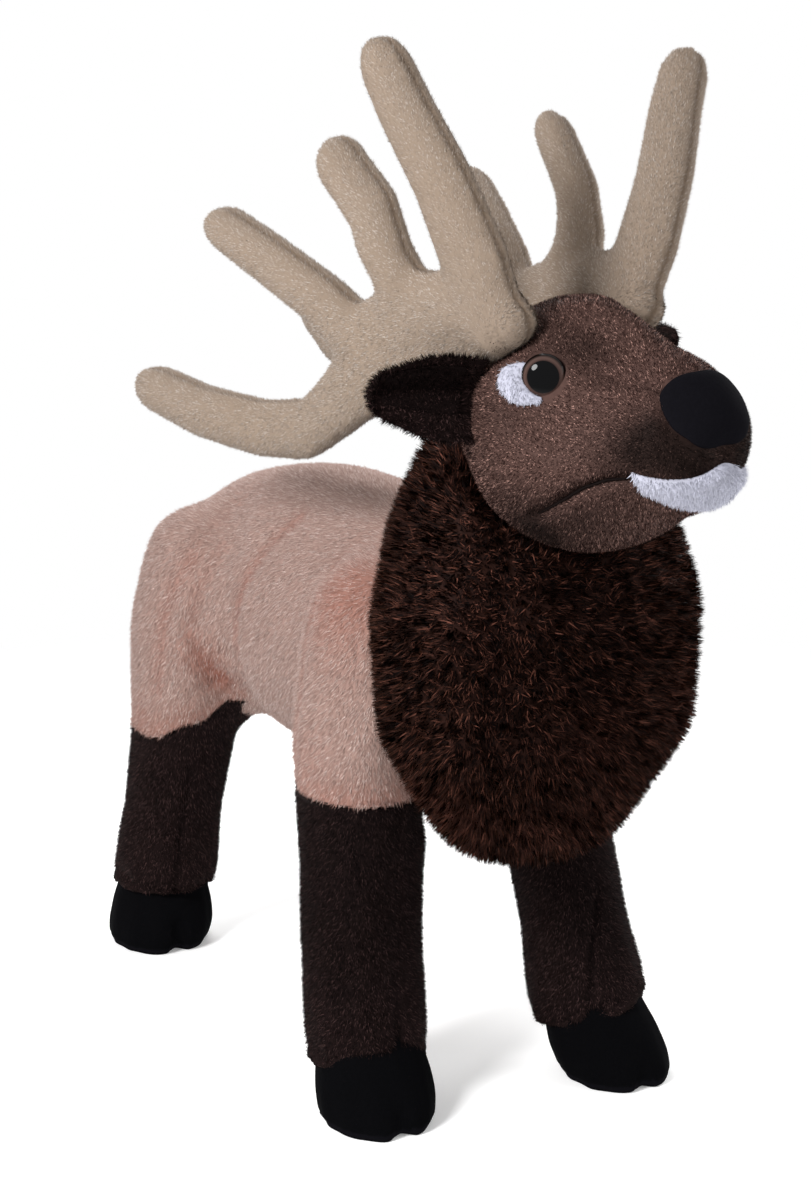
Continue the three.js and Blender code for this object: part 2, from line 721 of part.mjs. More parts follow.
// The head skin is parted by these regions; grow stands a neighbour off by that much
function headRegions(grow) {
  const toSide = (shares, drop) => shares.map(
    ([along, rise]) => [along * muzzleReach, rise * skullRadius - drop]);
  const low = -skullRadius - overrun;
  const mouth = toSide(mouthShares, grow);
  const jaw = sidePrism([...mouth, [mouth.at(-1)[0], low], [mouth[0][0], low]], -farOut, farOut);
  const spread = ([y, z], index) => [
    y + (index === 0 ? grow * 2 : 0), z + (index < 3 ? grow : -grow)];
  const lip = sidePrism(toSide(lipShares, 0).map(spread), -farOut, farOut);
  const shield = new THREE.Shape(mirroredOutline(noseShares.map(([out, rise], index) => [
    out * skullRadius + grow, rise * skullRadius + (index < 2 ? grow : -grow)])));
  const forwardBasis = new THREE.Matrix4().makeBasis(
    new THREE.Vector3(-1, 0, 0), new THREE.Vector3(0, 0, 1), new THREE.Vector3(0, 1, 0));
  const nose = solidOf(
    new THREE.ExtrudeGeometry(shield, { depth: muzzleReach, bevelEnabled: false }),
    forwardBasis.setPosition(0, grow - (noseBackShare + 1) * muzzleReach, 0));
  const plan = new THREE.Shape(mirroredOutline(gussetShares.map(
    ([out, along]) => [out * skullRadius + grow, along * muzzleReach])));
  const gusset = solidOf(
    new THREE.ExtrudeGeometry(plan, { depth: skullRadius + overrun, bevelEnabled: false }),
    new THREE.Matrix4().setPosition(0, 0, gussetFloorShare * skullRadius - grow));
  return { jaw, lip, nose, gusset };
}

function mirroredOutline(points) {
  return [
    ...points.map(([x, y]) => new THREE.Vector2(x, y)),
    ...points.slice().reverse().map(([x, y]) => new THREE.Vector2(-x, y)),
  ];
}

// Foot of an antler: a round-ended roll along its hinge, which the skull's trough holds
function footForm(gap) {
  const half = footLength / 2 - fanHalfThick;
  const run = new THREE.Vector3(0, Math.cos(deg(footSlope)), -Math.sin(deg(footSlope)));
  const rows = [-1, 1].map((end) => ({
    middle: run.clone().multiplyScalar(end * half), half: fanHalfThick + gap, tall: fanHalfThick + gap }));
  const dome = fanHalfThick + gap;
  return ovalForm({ rows, domes: [dome, dome], steps: 1, around: footAround });
}

// One tine of the flat sewn fan, drawn in by inset
function tineForm(shares, inset) {
  const rows = shares.map(([back, up, wide]) => ({
    middle: new THREE.Vector3(0, back * fanReach, up * fanRise),
    half: fanHalfThick,
    tall: wide * fanHalfThick,
  }));
  const first = rows[0].middle;
  first.lerp(rows[1].middle, inset / first.distanceTo(rows[1].middle));
  const tipDome = shares.at(-1)[2] * fanHalfThick;
  const around = inset > 0 ? antlerInnerAround : antlerAround;
  const steps = rows.length - 2;
  return ovalForm({ rows, domes: [0, tipDome], steps, around, inset, domeTurns: smallDomeTurns });
}

// The whole fan above its hinge, with its foot
function fanForm(inset) {
  const tines = joined([beamShares, frontTineShares, secondTineShares, thirdTineShares].map(
    (shares) => tineForm(shares, inset)));
  const over = placed(
    block(new THREE.Vector3(-overrun, -farOut, inset), new THREE.Vector3(overrun, farOut, farOut)),
    new THREE.Matrix4().makeRotationX(-deg(footSlope)));
  return tines.intersect(over).add(footForm(-inset));
}

// The second tine leans in towards its twin: its free part is sheared across, the rest stays
function leanTine(solid) {
  const outline = tineRoomShares.map(([back, up]) => [back * fanReach, up * fanRise]);
  const lifted = outline.map(([y, z], index) => [y, z + (index < 2 ? tineCutLift : 0)]);
  const rest = solid.subtract(sidePrism(lifted, -farOut, farOut));
  const free = solid.intersect(sidePrism(outline, -farOut, farOut));
  const lean = new THREE.Matrix4().makeShear(0, 0, 0, 0, -tineBend, 0)
    .setPosition(tineBend * tineBendShare * fanRise, 0, 0);
  return rest.add(placed(free, lean));
}

function antlerMatrix(name) {
  const side = name === 'left' ? 1 : -1;
  const set = antlerSet[name];
  const turn = new THREE.Euler(
    deg(set.pitch), side * deg(antlerLean + set.lean), -side * deg(antlerSplay), 'YXZ');
  return new THREE.Matrix4().makeRotationFromEuler(turn)
    .setPosition(side * antlerOut, antlerBack, antlerRise);
}

// Antler: outer and inner velvet panels over their stuffing
function buildAntler(name) {
  const group = new THREE.Group();
  const turnOver = (solid) => (name === 'left' ? solid : mirrored(solid));
  const finish = (solid) => turnOver(leanTine(solid));
  const panels = halves(fanForm(0).subtract(fanForm(velvetThick)), farOut);
  group.add(
    piece(`antler_${name}_outer_panel`, finish(mainBody(panels.left)), creamPlush),
    piece(`antler_${name}_inner_panel`, finish(mainBody(panels.right)), creamPlush),
    piece(`antler_${name}_stuffing`, finish(fanForm(velvetThick + seamGap)), stuffing),
  );
  group.name = `antler_${name}_pivot`;
  group.applyMatrix4(antlerMatrix(name));
  return group;
}

// Ear leaf along +Y in its own frame, hollow towards +X
function earLeaf(shift, inset) {
  const rows = earShares.map(([along, wide, thick]) => ({
    middle: new THREE.Vector3(shift, along * earLength, 0),
    half: thick * earHalfThick,
    tall: wide * earHalfWidth,
  }));
  const domes = [earShares[0][2] * earHalfThick, (1 - earShares.at(-1)[0]) * earLength];
  return ovalForm({ rows, domes, steps: earSteps, around: earAround, inset, domeTurns: smallDomeTurns });
}

function buildEar(name) {
  const side = name === 'left' ? 1 : -1;
  const group = new THREE.Group();
  const turnOver = (solid) => (name === 'left' ? solid : mirrored(solid));
  const leaf = earLeaf(0, 0);
  const shell = leaf.subtract(earLeaf(earWall, earWall));
  const lining = leaf.intersect(earLeaf(earWall + seamGap, earWall + seamGap * 2))
    .subtract(earLeaf(earWall * 2 + seamGap, earWall + seamGap * 2));
  group.add(
    piece(`ear_${name}_shell`, turnOver(shell), darkPlush),
    piece(`ear_${name}_lining`, turnOver(lining), darkPlush),
  );
  const reach = earSeatShare * skullRadius + earShares[0][2] * earHalfThick + seamGap;
  group.name = `ear_${name}_pivot`;
  group.position.set(side * reach * Math.cos(deg(earBackTurn)), reach * Math.sin(deg(earBackTurn)), earRise);
  group.rotation.z = -side * deg(90 - earTurn);
  return group;
}

// Safety eye with its locking washer and the white plush patch behind it
function buildEye(name) {
  const own = (solid) => (name === 'left' ? solid : mirrored(solid));
  const frame = eyeFrame();
  const lifted = new THREE.Matrix4().multiplyMatrices(frame, new THREE.Matrix4().setPosition(0, seamGap, 0));
  const washerTop = -clothThick - washerDrop;
  const slip = deg(eyeWhiteTurn);
  const patchPlace = new THREE.Matrix4().makeRotationY(slip).scale(
    new THREE.Vector3(eyeWhiteHalfLength, shankLength, eyeWhiteHalfWidth));
  patchPlace.setPosition(-eyeWhiteSlip * Math.cos(slip), 0, -eyeWhiteSlip * Math.sin(slip));
  const oval = solidOf(
    new THREE.CylinderGeometry(1, 1, 1, 12), new THREE.Matrix4().multiplyMatrices(frame, patchPlace));
  const eyeRoom = placed(solidOf(
    new THREE.CylinderGeometry(eyeRadius + seamGap, eyeRadius + seamGap, shankLength * 2, 20)), frame);
  const patch = headForm(-seamGap - eyeWhiteThick).subtract(headForm(-seamGap))
    .intersect(oval).subtract(eyeRoom);
  const washer = ringForm(shankRadius + seamGap, washerRadius, washerTop - washerThick, washerTop, 12);
  return [
    piece(`eye_${name}`, own(placed(eyeForm(), lifted)), eyePlastic),
    piece(`eye_washer_${name}`, own(placed(washer, frame)), washerPlastic),
    piece(`eye_white_${name}`, own(patch), whitePlush),
  ];
}

// Head: face panels, forehead gusset, jaw, lip, nose, eyes and stuffing
function buildHead() {
  const group = new THREE.Group();
  const close = headRegions(0);
  const apart = headRegions(seamGap);
  const both = (solid) => [solid, mirrored(solid)];
  const frame = eyeFrame();
  const roomFor = (radius, bottom, top) => placed(
    ringSolid([[0, bottom], [radius, bottom], [radius, top], [0, top]], 18), frame);
  const washerTop = -clothThick - washerDrop + seamGap;
  const washerBottom = washerTop - washerThick - seamGap * 2;
  const troughs = ['left', 'right'].map((name) => placed(footForm(turnGap), antlerMatrix(name)));
  const rooms = joined([
    ...both(roomFor(shankRadius + seamGap, -shankLength - seamGap, eyeDome)),
    ...both(roomFor(washerRadius + seamGap, washerBottom, washerTop)),
    ...troughs,
  ]);
  const washerRooms = joined(both(roomFor(washerRadius + seamGap, washerBottom, eyeDome)));
  const skin = headForm(0).subtract(headForm(clothThick)).subtract(rooms);
  const face = halves(
    skin.subtract(close.jaw).subtract(apart.lip).subtract(apart.nose).subtract(apart.gusset), farOut);
  group.add(
    piece('face_left', face.left, headPlush),
    piece('face_right', face.right, headPlush),
    piece('forehead_gusset', skin.intersect(close.gusset).subtract(apart.nose), headPlush),
    piece('jaw', skin.intersect(apart.jaw).subtract(apart.lip), headPlush),
    piece('lower_lip', surfacePatch(lipProud, clothThick, close.lip), whitePlush),
    piece('nose', surfacePatch(noseProud, clothThick, close.nose), blackPlush),
    piece('head_stuffing', headForm(clothThick + seamGap).subtract(rooms).subtract(washerRooms), stuffing),
    ...buildEye('left'),
    ...buildEye('right'),
    buildEar('left'),
    buildEar('right'),
    buildAntler('left'),
    buildAntler('right'),
  );
  group.name = 'head_pivot';
  group.position.set(0, -headForward, headHeight);
  group.rotation.z = deg(headTurn);
  return group;
}

// Tail: two plush leaves that hang from a seam on the rump
function buildTail() {
  const rows = tailShares.map(([along, wide, thick]) => ({
    middle: new THREE.Vector3(0, 0, -along * tailLength),
    half: wide * tailHalfWidth,
    tall: thick * tailHalfThick,
  }));
  const domes = [tailShares[0][2] * tailHalfThick, (1 - tailShares.at(-1)[0]) * tailLength];
  const leaf = ovalForm({ rows, domes, steps: tailSteps, around: tailAround, domeTurns: smallDomeTurns });
  const outer = block(new THREE.Vector3(-overrun, seamGap / 2, -overrun),
    new THREE.Vector3(overrun, overrun, overrun));
  const inner = block(new THREE.Vector3(-overrun, -overrun, -overrun),
    new THREE.Vector3(overrun, -seamGap / 2, overrun));
  const group = new THREE.Group();
  group.add(
    piece('tail_top', leaf.intersect(outer), peachPlush),
    piece('tail_underside', leaf.intersect(inner), peachPlush),
  );
  group.name = 'tail_pivot';
  group.position.copy(tailSeat());
  group.rotation.x = deg(tailDroop);
  return group;
}

// The tail's hinge stands off the rump's dome by its own half thickness
function tailSeat() {
  const middles = torsoShares.map(([along, rise]) => new THREE.Vector3(
    0, along * (chestFront + rumpBack) - chestFront, torsoMiddleHeight + rise * torsoHalfHeight));
  const run = middles.at(-1).clone().sub(middles.at(-2)).normalize();
  const rise = new THREE.Vector3().crossVectors(across, run);
  const reach = (1 - torsoShares.at(-1)[0]) * (chestFront + rumpBack);
  const tall = torsoShares.at(-1)[3] * torsoHalfHeight;
  const turn = deg(tailTurn);
  const normal = run.clone().multiplyScalar(Math.sin(turn) / reach)
    .addScaledVector(rise, Math.cos(turn) / tall).normalize();
  return middles.at(-1)
    .addScaledVector(run, reach * Math.sin(turn))
    .addScaledVector(rise, tall * Math.cos(turn))
    .addScaledVector(normal, tailShares[0][2] * tailHalfThick + tailSeatGap);
}

deer.add(...buildTorso(), ...buildMane(), ...legs.map(buildLeg), buildHead(), buildTail());

// The origin is the middle of the whole toy's footprint, on the ground
const bounds = new THREE.Box3().setFromObject(deer, true);
const centre = bounds.getCenter(new THREE.Vector3());
deer.position.set(-centre.x, -centre.y, -bounds.min.z);

export default deer;
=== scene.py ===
import bmesh
import bpy
import json
import math
import numpy as np
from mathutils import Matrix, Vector
from mathutils.bvhtree import BVHTree
from mathutils.kdtree import KDTree


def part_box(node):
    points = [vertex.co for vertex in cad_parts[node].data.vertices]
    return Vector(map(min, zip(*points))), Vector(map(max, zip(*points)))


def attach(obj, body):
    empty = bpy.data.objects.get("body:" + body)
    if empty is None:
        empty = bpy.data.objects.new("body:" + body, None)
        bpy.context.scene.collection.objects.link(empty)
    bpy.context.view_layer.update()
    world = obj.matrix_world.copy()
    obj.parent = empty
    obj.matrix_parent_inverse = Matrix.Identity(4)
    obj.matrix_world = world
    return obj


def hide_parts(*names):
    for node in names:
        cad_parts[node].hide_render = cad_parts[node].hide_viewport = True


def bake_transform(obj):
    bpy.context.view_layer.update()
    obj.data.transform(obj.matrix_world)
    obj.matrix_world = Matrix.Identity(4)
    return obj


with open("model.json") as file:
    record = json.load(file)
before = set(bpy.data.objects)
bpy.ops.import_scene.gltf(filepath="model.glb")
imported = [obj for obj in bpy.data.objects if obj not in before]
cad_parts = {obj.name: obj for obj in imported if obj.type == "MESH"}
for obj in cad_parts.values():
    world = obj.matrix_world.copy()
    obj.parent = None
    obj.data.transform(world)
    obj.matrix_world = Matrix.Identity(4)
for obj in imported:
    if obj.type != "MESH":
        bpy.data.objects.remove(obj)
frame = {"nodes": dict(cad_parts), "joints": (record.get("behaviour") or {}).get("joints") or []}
nodes = frame["nodes"]
scene = bpy.context.scene
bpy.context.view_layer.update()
mm = 0.001
jointAt = {joint["name"]: np.array(joint["pos_m"]) for joint in frame["joints"]}


# Mesh helpers

def arrayOf(items, key, width, kind=np.float32):
    # One value of each item, a row for each
    found = np.empty(len(items) * width, kind)
    items.foreach_get(key, found)
    return found.reshape(-1, width)


def cornersOf(mesh):
    return arrayOf(mesh.vertices, "co", 3)


def normalsOf(mesh):
    return arrayOf(mesh.vertex_normals, "vector", 3)


def trianglesOf(mesh):
    mesh.calc_loop_triangles()
    return arrayOf(mesh.loop_triangles, "vertices", 3, np.int32)


def edgesOf(mesh):
    return arrayOf(mesh.edges, "vertices", 2, np.int32)


def quadsOf(mesh):
    return arrayOf(mesh.loops, "vertex_index", 1, np.int32).reshape(-1, 4)


def setCorners(mesh, points):
    mesh.vertices.foreach_set("co", np.ascontiguousarray(points, np.float32).ravel())
    mesh.update()


def setValue(mesh, name, values):
    layer = mesh.attributes.get(name) or mesh.attributes.new(name, "FLOAT", "POINT")
    layer.data.foreach_set("value", np.ascontiguousarray(values, np.float32))


def valueOf(mesh, name):
    found = np.zeros(len(mesh.vertices), np.float32)
    if name in mesh.attributes:
        mesh.attributes[name].data.foreach_get("value", found)
    return found


def unit(vectors):
    return vectors / np.maximum(np.linalg.norm(vectors, axis=-1, keepdims=True), 1e-9)


def eased(share):
    # 0 below 0, 1 above 1, and 3 share² − 2 share³ between
    share = np.clip(share, 0, 1)
    return share * share * (3 - 2 * share)


def meshObject(name, points, faces, smooth=True):
    mesh = bpy.data.meshes.new(name)
    sides = faces.shape[1]
    mesh.vertices.add(len(points))
    mesh.vertices.foreach_set("co", np.ascontiguousarray(points, np.float32).ravel())
    mesh.loops.add(faces.size)
    mesh.loops.foreach_set("vertex_index", np.ascontiguousarray(faces, np.int32).ravel())
    mesh.polygons.add(len(faces))
    mesh.polygons.foreach_set("loop_start", np.arange(0, faces.size, sides, dtype=np.int32))
    mesh.update(calc_edges=True)
    if smooth:
        mesh.shade_smooth()
    made = bpy.data.objects.new(name, mesh)
    scene.collection.objects.link(made)
    return made


def applied(thing):
    # The mesh with its modifiers in it
    found = thing.evaluated_get(bpy.context.evaluated_depsgraph_get())
    mesh = bpy.data.meshes.new_from_object(found)
    old = thing.data
    thing.modifiers.clear()
    thing.data = mesh
    bpy.data.meshes.remove(old)
    return thing


def reshaped(thing, work):
    # Work on the mesh's own edges and faces, then smooth shading
    shape = bmesh.new()
    shape.from_mesh(thing.data)
    work(shape)
    shape.to_mesh(thing.data)
    shape.free()
    thing.data.shade_smooth()
    return thing


def closeRims(shape):
    bmesh.ops.holes_fill(shape, edges=[edge for edge in shape.edges if edge.is_boundary], sides=0)


def turnOutward(shape):
    bmesh.ops.recalc_face_normals(shape, faces=shape.faces)


def joinedParts(nodeNames):
    points, faces, first = [], [], 0
    for nodeName in nodeNames:
        mesh = nodes[nodeName].data
        points.append(cornersOf(mesh))
        faces.append(trianglesOf(mesh) + first)
        first += len(mesh.vertices)
    return np.concatenate(points), np.concatenate(faces)


def relaxed(points, edges, rounds, push=0.5, pull=-0.52):
    # Each corner goes half of the way to the middle of its neighbours, then as far back,
    # so the form keeps its size
    count = np.bincount(edges.ravel(), minlength=len(points))[:, None]
    for step in range(rounds * 2):
        total = np.stack([
            np.bincount(edges[:, 0], points[edges[:, 1], axis], len(points))
            + np.bincount(edges[:, 1], points[edges[:, 0], axis], len(points))
            for axis in range(3)
        ], 1)
        points = points + (push if step % 2 == 0 else pull) * (total / count - points)
    return points


def outerShell(thing):
    # Voxels that close round a thin gap leave small bubbles inside: only the largest body stays
    mesh = thing.data
    edges = edgesOf(mesh)
    label = np.arange(len(mesh.vertices))
    while True:
        low = np.minimum(label[edges[:, 0]], label[edges[:, 1]])
        lower = label.copy()
        np.minimum.at(lower, edges[:, 0], low)
        np.minimum.at(lower, edges[:, 1], low)
        lower = lower[lower]
        if (lower == label).all():
            break
        label = lower
    kinds, counts = np.unique(label, return_counts=True)
    keep = label == kinds[counts.argmax()]
    if keep.all():
        return thing
    quads = quadsOf(mesh)
    quads = quads[keep[quads[:, 0]]]
    number = np.cumsum(keep) - 1
    name = thing.name
    points = cornersOf(mesh)[keep]
    bpy.data.objects.remove(thing)
    return meshObject(name, points, number[quads])


def remeshed(thing, voxel):
    remesh = thing.modifiers.new("voxels", "REMESH")
    remesh.mode = "VOXEL"
    remesh.voxel_size = voxel * mm
    return outerShell(applied(thing))


def smoothed(thing, rounds):
    setCorners(thing.data, relaxed(cornersOf(thing.data), edgesOf(thing.data), rounds))
    return thing


def offset(thing, distance):
    setCorners(thing.data, cornersOf(thing.data) + normalsOf(thing.data) * distance * mm)
    return thing


def refined(thing):
    cut = thing.modifiers.new("fine", "SUBSURF")
    cut.levels = cut.render_levels = 1
    applied(thing).data.shade_smooth()
    return thing


def closedForm(name, nodeNames, voxel, rounds, fillet=0):
    # The CAD pieces of one stuffed form as one closed skin. A fillet grows it and draws it back,
    # which rounds its valleys
    thing = smoothed(remeshed(meshObject(name, *joinedParts(nodeNames)), voxel), rounds)
    if fillet:
        thing = smoothed(remeshed(offset(thing, fillet), voxel), rounds)
        thing = smoothed(offset(thing, -fillet), rounds)
    thing.data.shade_smooth()
    return thing


def treeOf(points, faces):
    return BVHTree.FromPolygons(points.tolist(), faces.tolist())


def distancesTo(nodeNames, points):
    tree = treeOf(*joinedParts(nodeNames))
    return np.array([tree.find_nearest(point)[3] for point in points.tolist()], np.float32)


def seamField(points, panels, width):
    # 1 on the line where two sewn panels are equally near, and 0 a few widths away from it
    near = np.sort(np.stack([distancesTo(panel, points) for panel in panels]), axis=0)
    return np.exp(-((near[1] - near[0]) / (width * mm)) ** 2)


def pathField(points, path, width):
    # 1 on the straight stretches through the path's points, falling off as a bell
    path = np.array(path, np.float32) * mm
    start, along = path[:-1], path[1:] - path[:-1]
    way = points[:, None, :] - start[None]
    share = np.clip((way * along).sum(2) / (along ** 2).sum(1), 0, 1)
    away = np.linalg.norm(way - share[:, :, None] * along, axis=2).min(1)
    return np.exp(-(away / (width * mm)) ** 2)


def spotField(points, spots):
    # The sum of round bells: a place, a radius and a strength each
    total = np.zeros(len(points))
    for place, radius, strength in spots:
        away = np.linalg.norm(points - np.array(place) * mm, axis=1)
        total += strength * np.exp(-(away / (radius * mm)) ** 2)
    return total


def nearTo(points, targets, reach):
    tree = KDTree(len(targets))
    for number, target in enumerate(targets.tolist()):
        tree.insert(target, number)
    tree.balance()
    return np.array([tree.find(point)[2] for point in points.tolist()]) < reach * mm


clothLook = {"pressure": 4, "frames": 20, "heldFrom": 0.4}


def swell(thing, held, cap):
    # Cloth filled under pressure and held at its seams, with no point moved further than the cap
    rest = cornersOf(thing.data)
    group = thing.vertex_groups.new(name="held")
    group.add(np.flatnonzero(held).tolist(), 1.0, "REPLACE")
    cloth = thing.modifiers.new("swell", "CLOTH")
    cloth.settings.use_pressure = True
    cloth.settings.uniform_pressure_force = clothLook["pressure"]
    cloth.settings.effector_weights.gravity = 0
    cloth.settings.vertex_group_mass = "held"
    for number in range(clothLook["frames"]):
        scene.frame_set(number + 1)
    applied(thing)
    move = cornersOf(thing.data) - rest
    size = np.maximum(np.linalg.norm(move, axis=1, keepdims=True), 1e-9)
    setCorners(thing.data, rest + move * np.minimum(1, cap * mm / size))
    scene.frame_set(1)
    return thing


# Materials

def newMaterial(name, **sockets):
    made = bpy.data.materials.new(name)
    made.use_nodes = True
    shader = made.node_tree.nodes["Principled BSDF"]
    for socket, value in sockets.items():
        shader.inputs[socket.replace("_", " ")].default_value = value
    return made, made.node_tree, shader


def colour(red, green, blue):
    # A colour as a screen shows it, 0 to 255, made linear
    return tuple(((value / 255 + 0.055) / 1.055) ** 2.4 if value > 10 else value / 255 / 12.92
                 for value in (red, green, blue)) + (1,)


def nodeOf(tree, kind, **settings):
    made = tree.nodes.new(kind)
    for key, value in settings.items():
        setattr(made, key, value)
    return made


def feed(tree, pairs):
    for socket, value in pairs:
        if isinstance(value, bpy.types.NodeSocket):
            tree.links.new(value, socket)
        else:
            socket.default_value = value


def mixNode(tree, way, factor, first, second):
    mix = nodeOf(tree, "ShaderNodeMix", data_type="RGBA", blend_type=way)
    feed(tree, ((mix.inputs[0], factor), (mix.inputs[6], first), (mix.inputs[7], second)))
    return mix.outputs[2]


def mathNode(tree, way, *values):
    made = nodeOf(tree, "ShaderNodeMath", operation=way)
    feed(tree, zip(made.inputs, values))
    return made.outputs[0]


def noiseNode(tree, scale, detail=2.0):
    noise = nodeOf(tree, "ShaderNodeTexNoise")
    noise.inputs["Scale"].default_value = scale
    noise.inputs["Detail"].default_value = detail
    tree.links.new(nodeOf(tree, "ShaderNodeTexCoord").outputs["Object"], noise.inputs["Vector"])
    return noise.outputs["Fac"]


def valueNode(tree, name):
    return nodeOf(tree, "ShaderNodeAttribute", attribute_name=name).outputs["Fac"]


grainHeight = 0.4
sheenRoughness = 0.4


def plush(name, look):
    # Root colour to tip colour along each fibre, the darker root partly the fibres' own colour and partly
    # painted shade down in the pile; soft patches; the tone's colour where the tone is high, given below as
    # painted shade, painted glow and the nose's own tint; and a few fibres painted bright as glints,
    # painted highlights, fewer there by the dull share
    made, tree, shader = newMaterial(
        name, Roughness=look["rough"], Sheen_Weight=look["sheen"], Sheen_Roughness=sheenRoughness,
        Sheen_Tint=look["sheenTint"], Specular_IOR_Level=look["gloss"])
    grain = noiseNode(tree, look["grainScale"], detail=3.0)
    base = mixNode(tree, "MIX", valueNode(tree, "along"), look["root"], look["tip"])
    patch = mathNode(tree, "MULTIPLY", noiseNode(tree, look["patchScale"]), look["patchShare"])
    base = mixNode(tree, "MIX", patch, base, look["patch"])
    base = mixNode(tree, "MIX", valueNode(tree, "tone"), base, look["paintedLightAndTint"])
    glint = mathNode(tree, "MULTIPLY", valueNode(tree, "shade"), look["glintShare"])
    kept = mathNode(tree, "MULTIPLY_ADD", valueNode(tree, "tone"), -look["dull"], 1)
    glint = mathNode(tree, "MULTIPLY", glint, kept)
    base = mixNode(tree, "MIX", glint, base, look["glint"])
    light = mathNode(tree, "MULTIPLY_ADD", grain, look["grain"], 1 - look["grain"] / 2)
    tree.links.new(mixNode(tree, "MULTIPLY", 1.0, base, light), shader.inputs["Base Color"])
    bump = nodeOf(tree, "ShaderNodeBump")
    bump.inputs["Strength"].default_value = look["bump"]
    bump.inputs["Distance"].default_value = grainHeight * mm
    tree.links.new(grain, bump.inputs["Height"])
    tree.links.new(bump.outputs[0], shader.inputs["Normal"])
    return made


# The tone's colour is painted shade for the body, sleeves, head and antlers, a painted reddish glow for the
# ruff, and the nose's own tint for the black plush; the glint colour is painted highlights
plushLooks = {
    "body_plush": {
        "root": colour(120, 93, 84), "tip": colour(166, 139, 130), "patch": colour(142, 115, 105),
        "paintedLightAndTint": colour(136, 86, 72), "glint": colour(214, 196, 189),
        "patchShare": 0.8, "glintShare": 0.65, "dull": 0.2,
        "rough": 0.85, "sheen": 0.06, "sheenTint": (1, 0.92, 0.9, 1), "gloss": 0.04,
        "patchScale": 12, "grainScale": 500, "grain": 0.2, "bump": 0.3},
    "dark_plush": {
        "root": colour(6, 4, 4), "tip": colour(34, 24, 23), "patch": colour(3, 2, 2),
        "paintedLightAndTint": colour(6, 4, 4), "glint": colour(104, 78, 76),
        "patchShare": 1.0, "glintShare": 0.5, "dull": 0.7,
        "rough": 0.7, "sheen": 0.01, "sheenTint": (0.8, 0.6, 0.55, 1), "gloss": 0.02,
        "patchScale": 38, "grainScale": 700, "grain": 0.5, "bump": 0.3},
    "head_plush": {
        "root": colour(20, 11, 10), "tip": colour(52, 31, 27), "patch": colour(32, 17, 15),
        "paintedLightAndTint": colour(14, 8, 7), "glint": colour(226, 178, 164),
        "patchShare": 0.9, "glintShare": 0.75, "dull": 0.85,
        "rough": 0.6, "sheen": 0.01, "sheenTint": (0.9, 0.6, 0.55, 1), "gloss": 0.03,
        "patchScale": 46, "grainScale": 800, "grain": 0.5, "bump": 0.3},
    "shag_plush": {
        "root": colour(4, 3, 3), "tip": colour(17, 10, 10), "patch": colour(8, 4, 4),
        "paintedLightAndTint": colour(60, 34, 28), "glint": colour(146, 92, 76),
        "patchShare": 0.9, "glintShare": 0.6, "dull": 0,
        "rough": 0.6, "sheen": 0.02, "sheenTint": (0.9, 0.35, 0.18, 1), "gloss": 0.03,
        "patchScale": 30, "grainScale": 400, "grain": 0.3, "bump": 0.2},
    "antler_plush": {
        "root": colour(112, 96, 81), "tip": colour(153, 139, 127), "patch": colour(128, 110, 93),
        "paintedLightAndTint": colour(98, 80, 64), "glint": colour(208, 202, 197),
        "patchShare": 0.8, "glintShare": 0.5, "dull": 0.5,
        "rough": 0.85, "sheen": 0.06, "sheenTint": (1, 0.97, 0.95, 1), "gloss": 0.04,
        "patchScale": 20, "grainScale": 600, "grain": 0.1, "bump": 0.15},
    "black_plush": {
        "root": colour(6, 6, 7), "tip": colour(9, 9, 11), "patch": colour(5, 5, 6),
        "paintedLightAndTint": colour(17, 16, 20), "glint": colour(26, 26, 32),
        "patchShare": 0.4, "glintShare": 0.2, "dull": 0,
        "rough": 0.9, "sheen": 0.0, "sheenTint": (0.7, 0.75, 0.9, 1), "gloss": 0.01,
        "patchScale": 40, "grainScale": 900, "grain": 0.4, "bump": 0.25},
    "white_plush": {
        "root": colour(160, 160, 173), "tip": colour(190, 191, 206), "patch": colour(180, 180, 194),
        "paintedLightAndTint": colour(150, 148, 162), "glint": colour(222, 224, 236),
        "patchShare": 0.4, "glintShare": 0.4, "dull": 0,
        "rough": 0.9, "sheen": 0.04, "sheenTint": (1, 1, 1, 1), "gloss": 0.04,
        "patchScale": 60, "grainScale": 700, "grain": 0.15, "bump": 0.3},
}
finishes = {name: plush(name, look) for name, look in plushLooks.items()}
print("stage: materials")


# Dressing: each finished piece gets its material, and the CAD nodes that it replaces are hidden. It is
# attached to its body, unless it has a blend: then its place is only baked into its mesh


def dress(thing, body, slot, blend=None, replaced=()):
    thing.data.materials.clear()
    thing.data.materials.append(finishes[slot])
    if blend:
        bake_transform(thing)
    else:
        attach(thing, body)
    if replaced:
        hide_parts(*replaced)
    return thing


# The skin's colour near the fibres' roots is painted shade between the fibres, with few painted glints; its
# seams are darkened as painted shade
skinLook = {"along": 0.2, "shade": 0.1, "seamShade": 0.8}


def skinned(thing, inset, seam=None, seamDepth=0.8, tone=None):
    # The skin under the pile: drawn in by the pile's height, pressed in along its seams. It takes a colour
    # near the fibres' roots, painted shade between the fibres, and its seams take the tone, painted shade in
    # the seams
    mesh = thing.data
    points = cornersOf(mesh)
    seam = np.zeros(len(points)) if seam is None else seam
    setCorners(mesh, points - normalsOf(mesh) * ((inset + seam * seamDepth) * mm)[:, None])
    deeper = np.maximum(valueOf(mesh, "tone"), seam * skinLook["seamShade"])
    if tone is not None:
        deeper = np.maximum(deeper, tone)
    setValue(mesh, "tone", np.clip(deeper, 0, 1))
    setValue(mesh, "along", np.full(len(points), skinLook["along"]))
    setValue(mesh, "shade", np.full(len(points), skinLook["shade"]))
    return thing


# Pile: one thin blade for each tuft of fibres

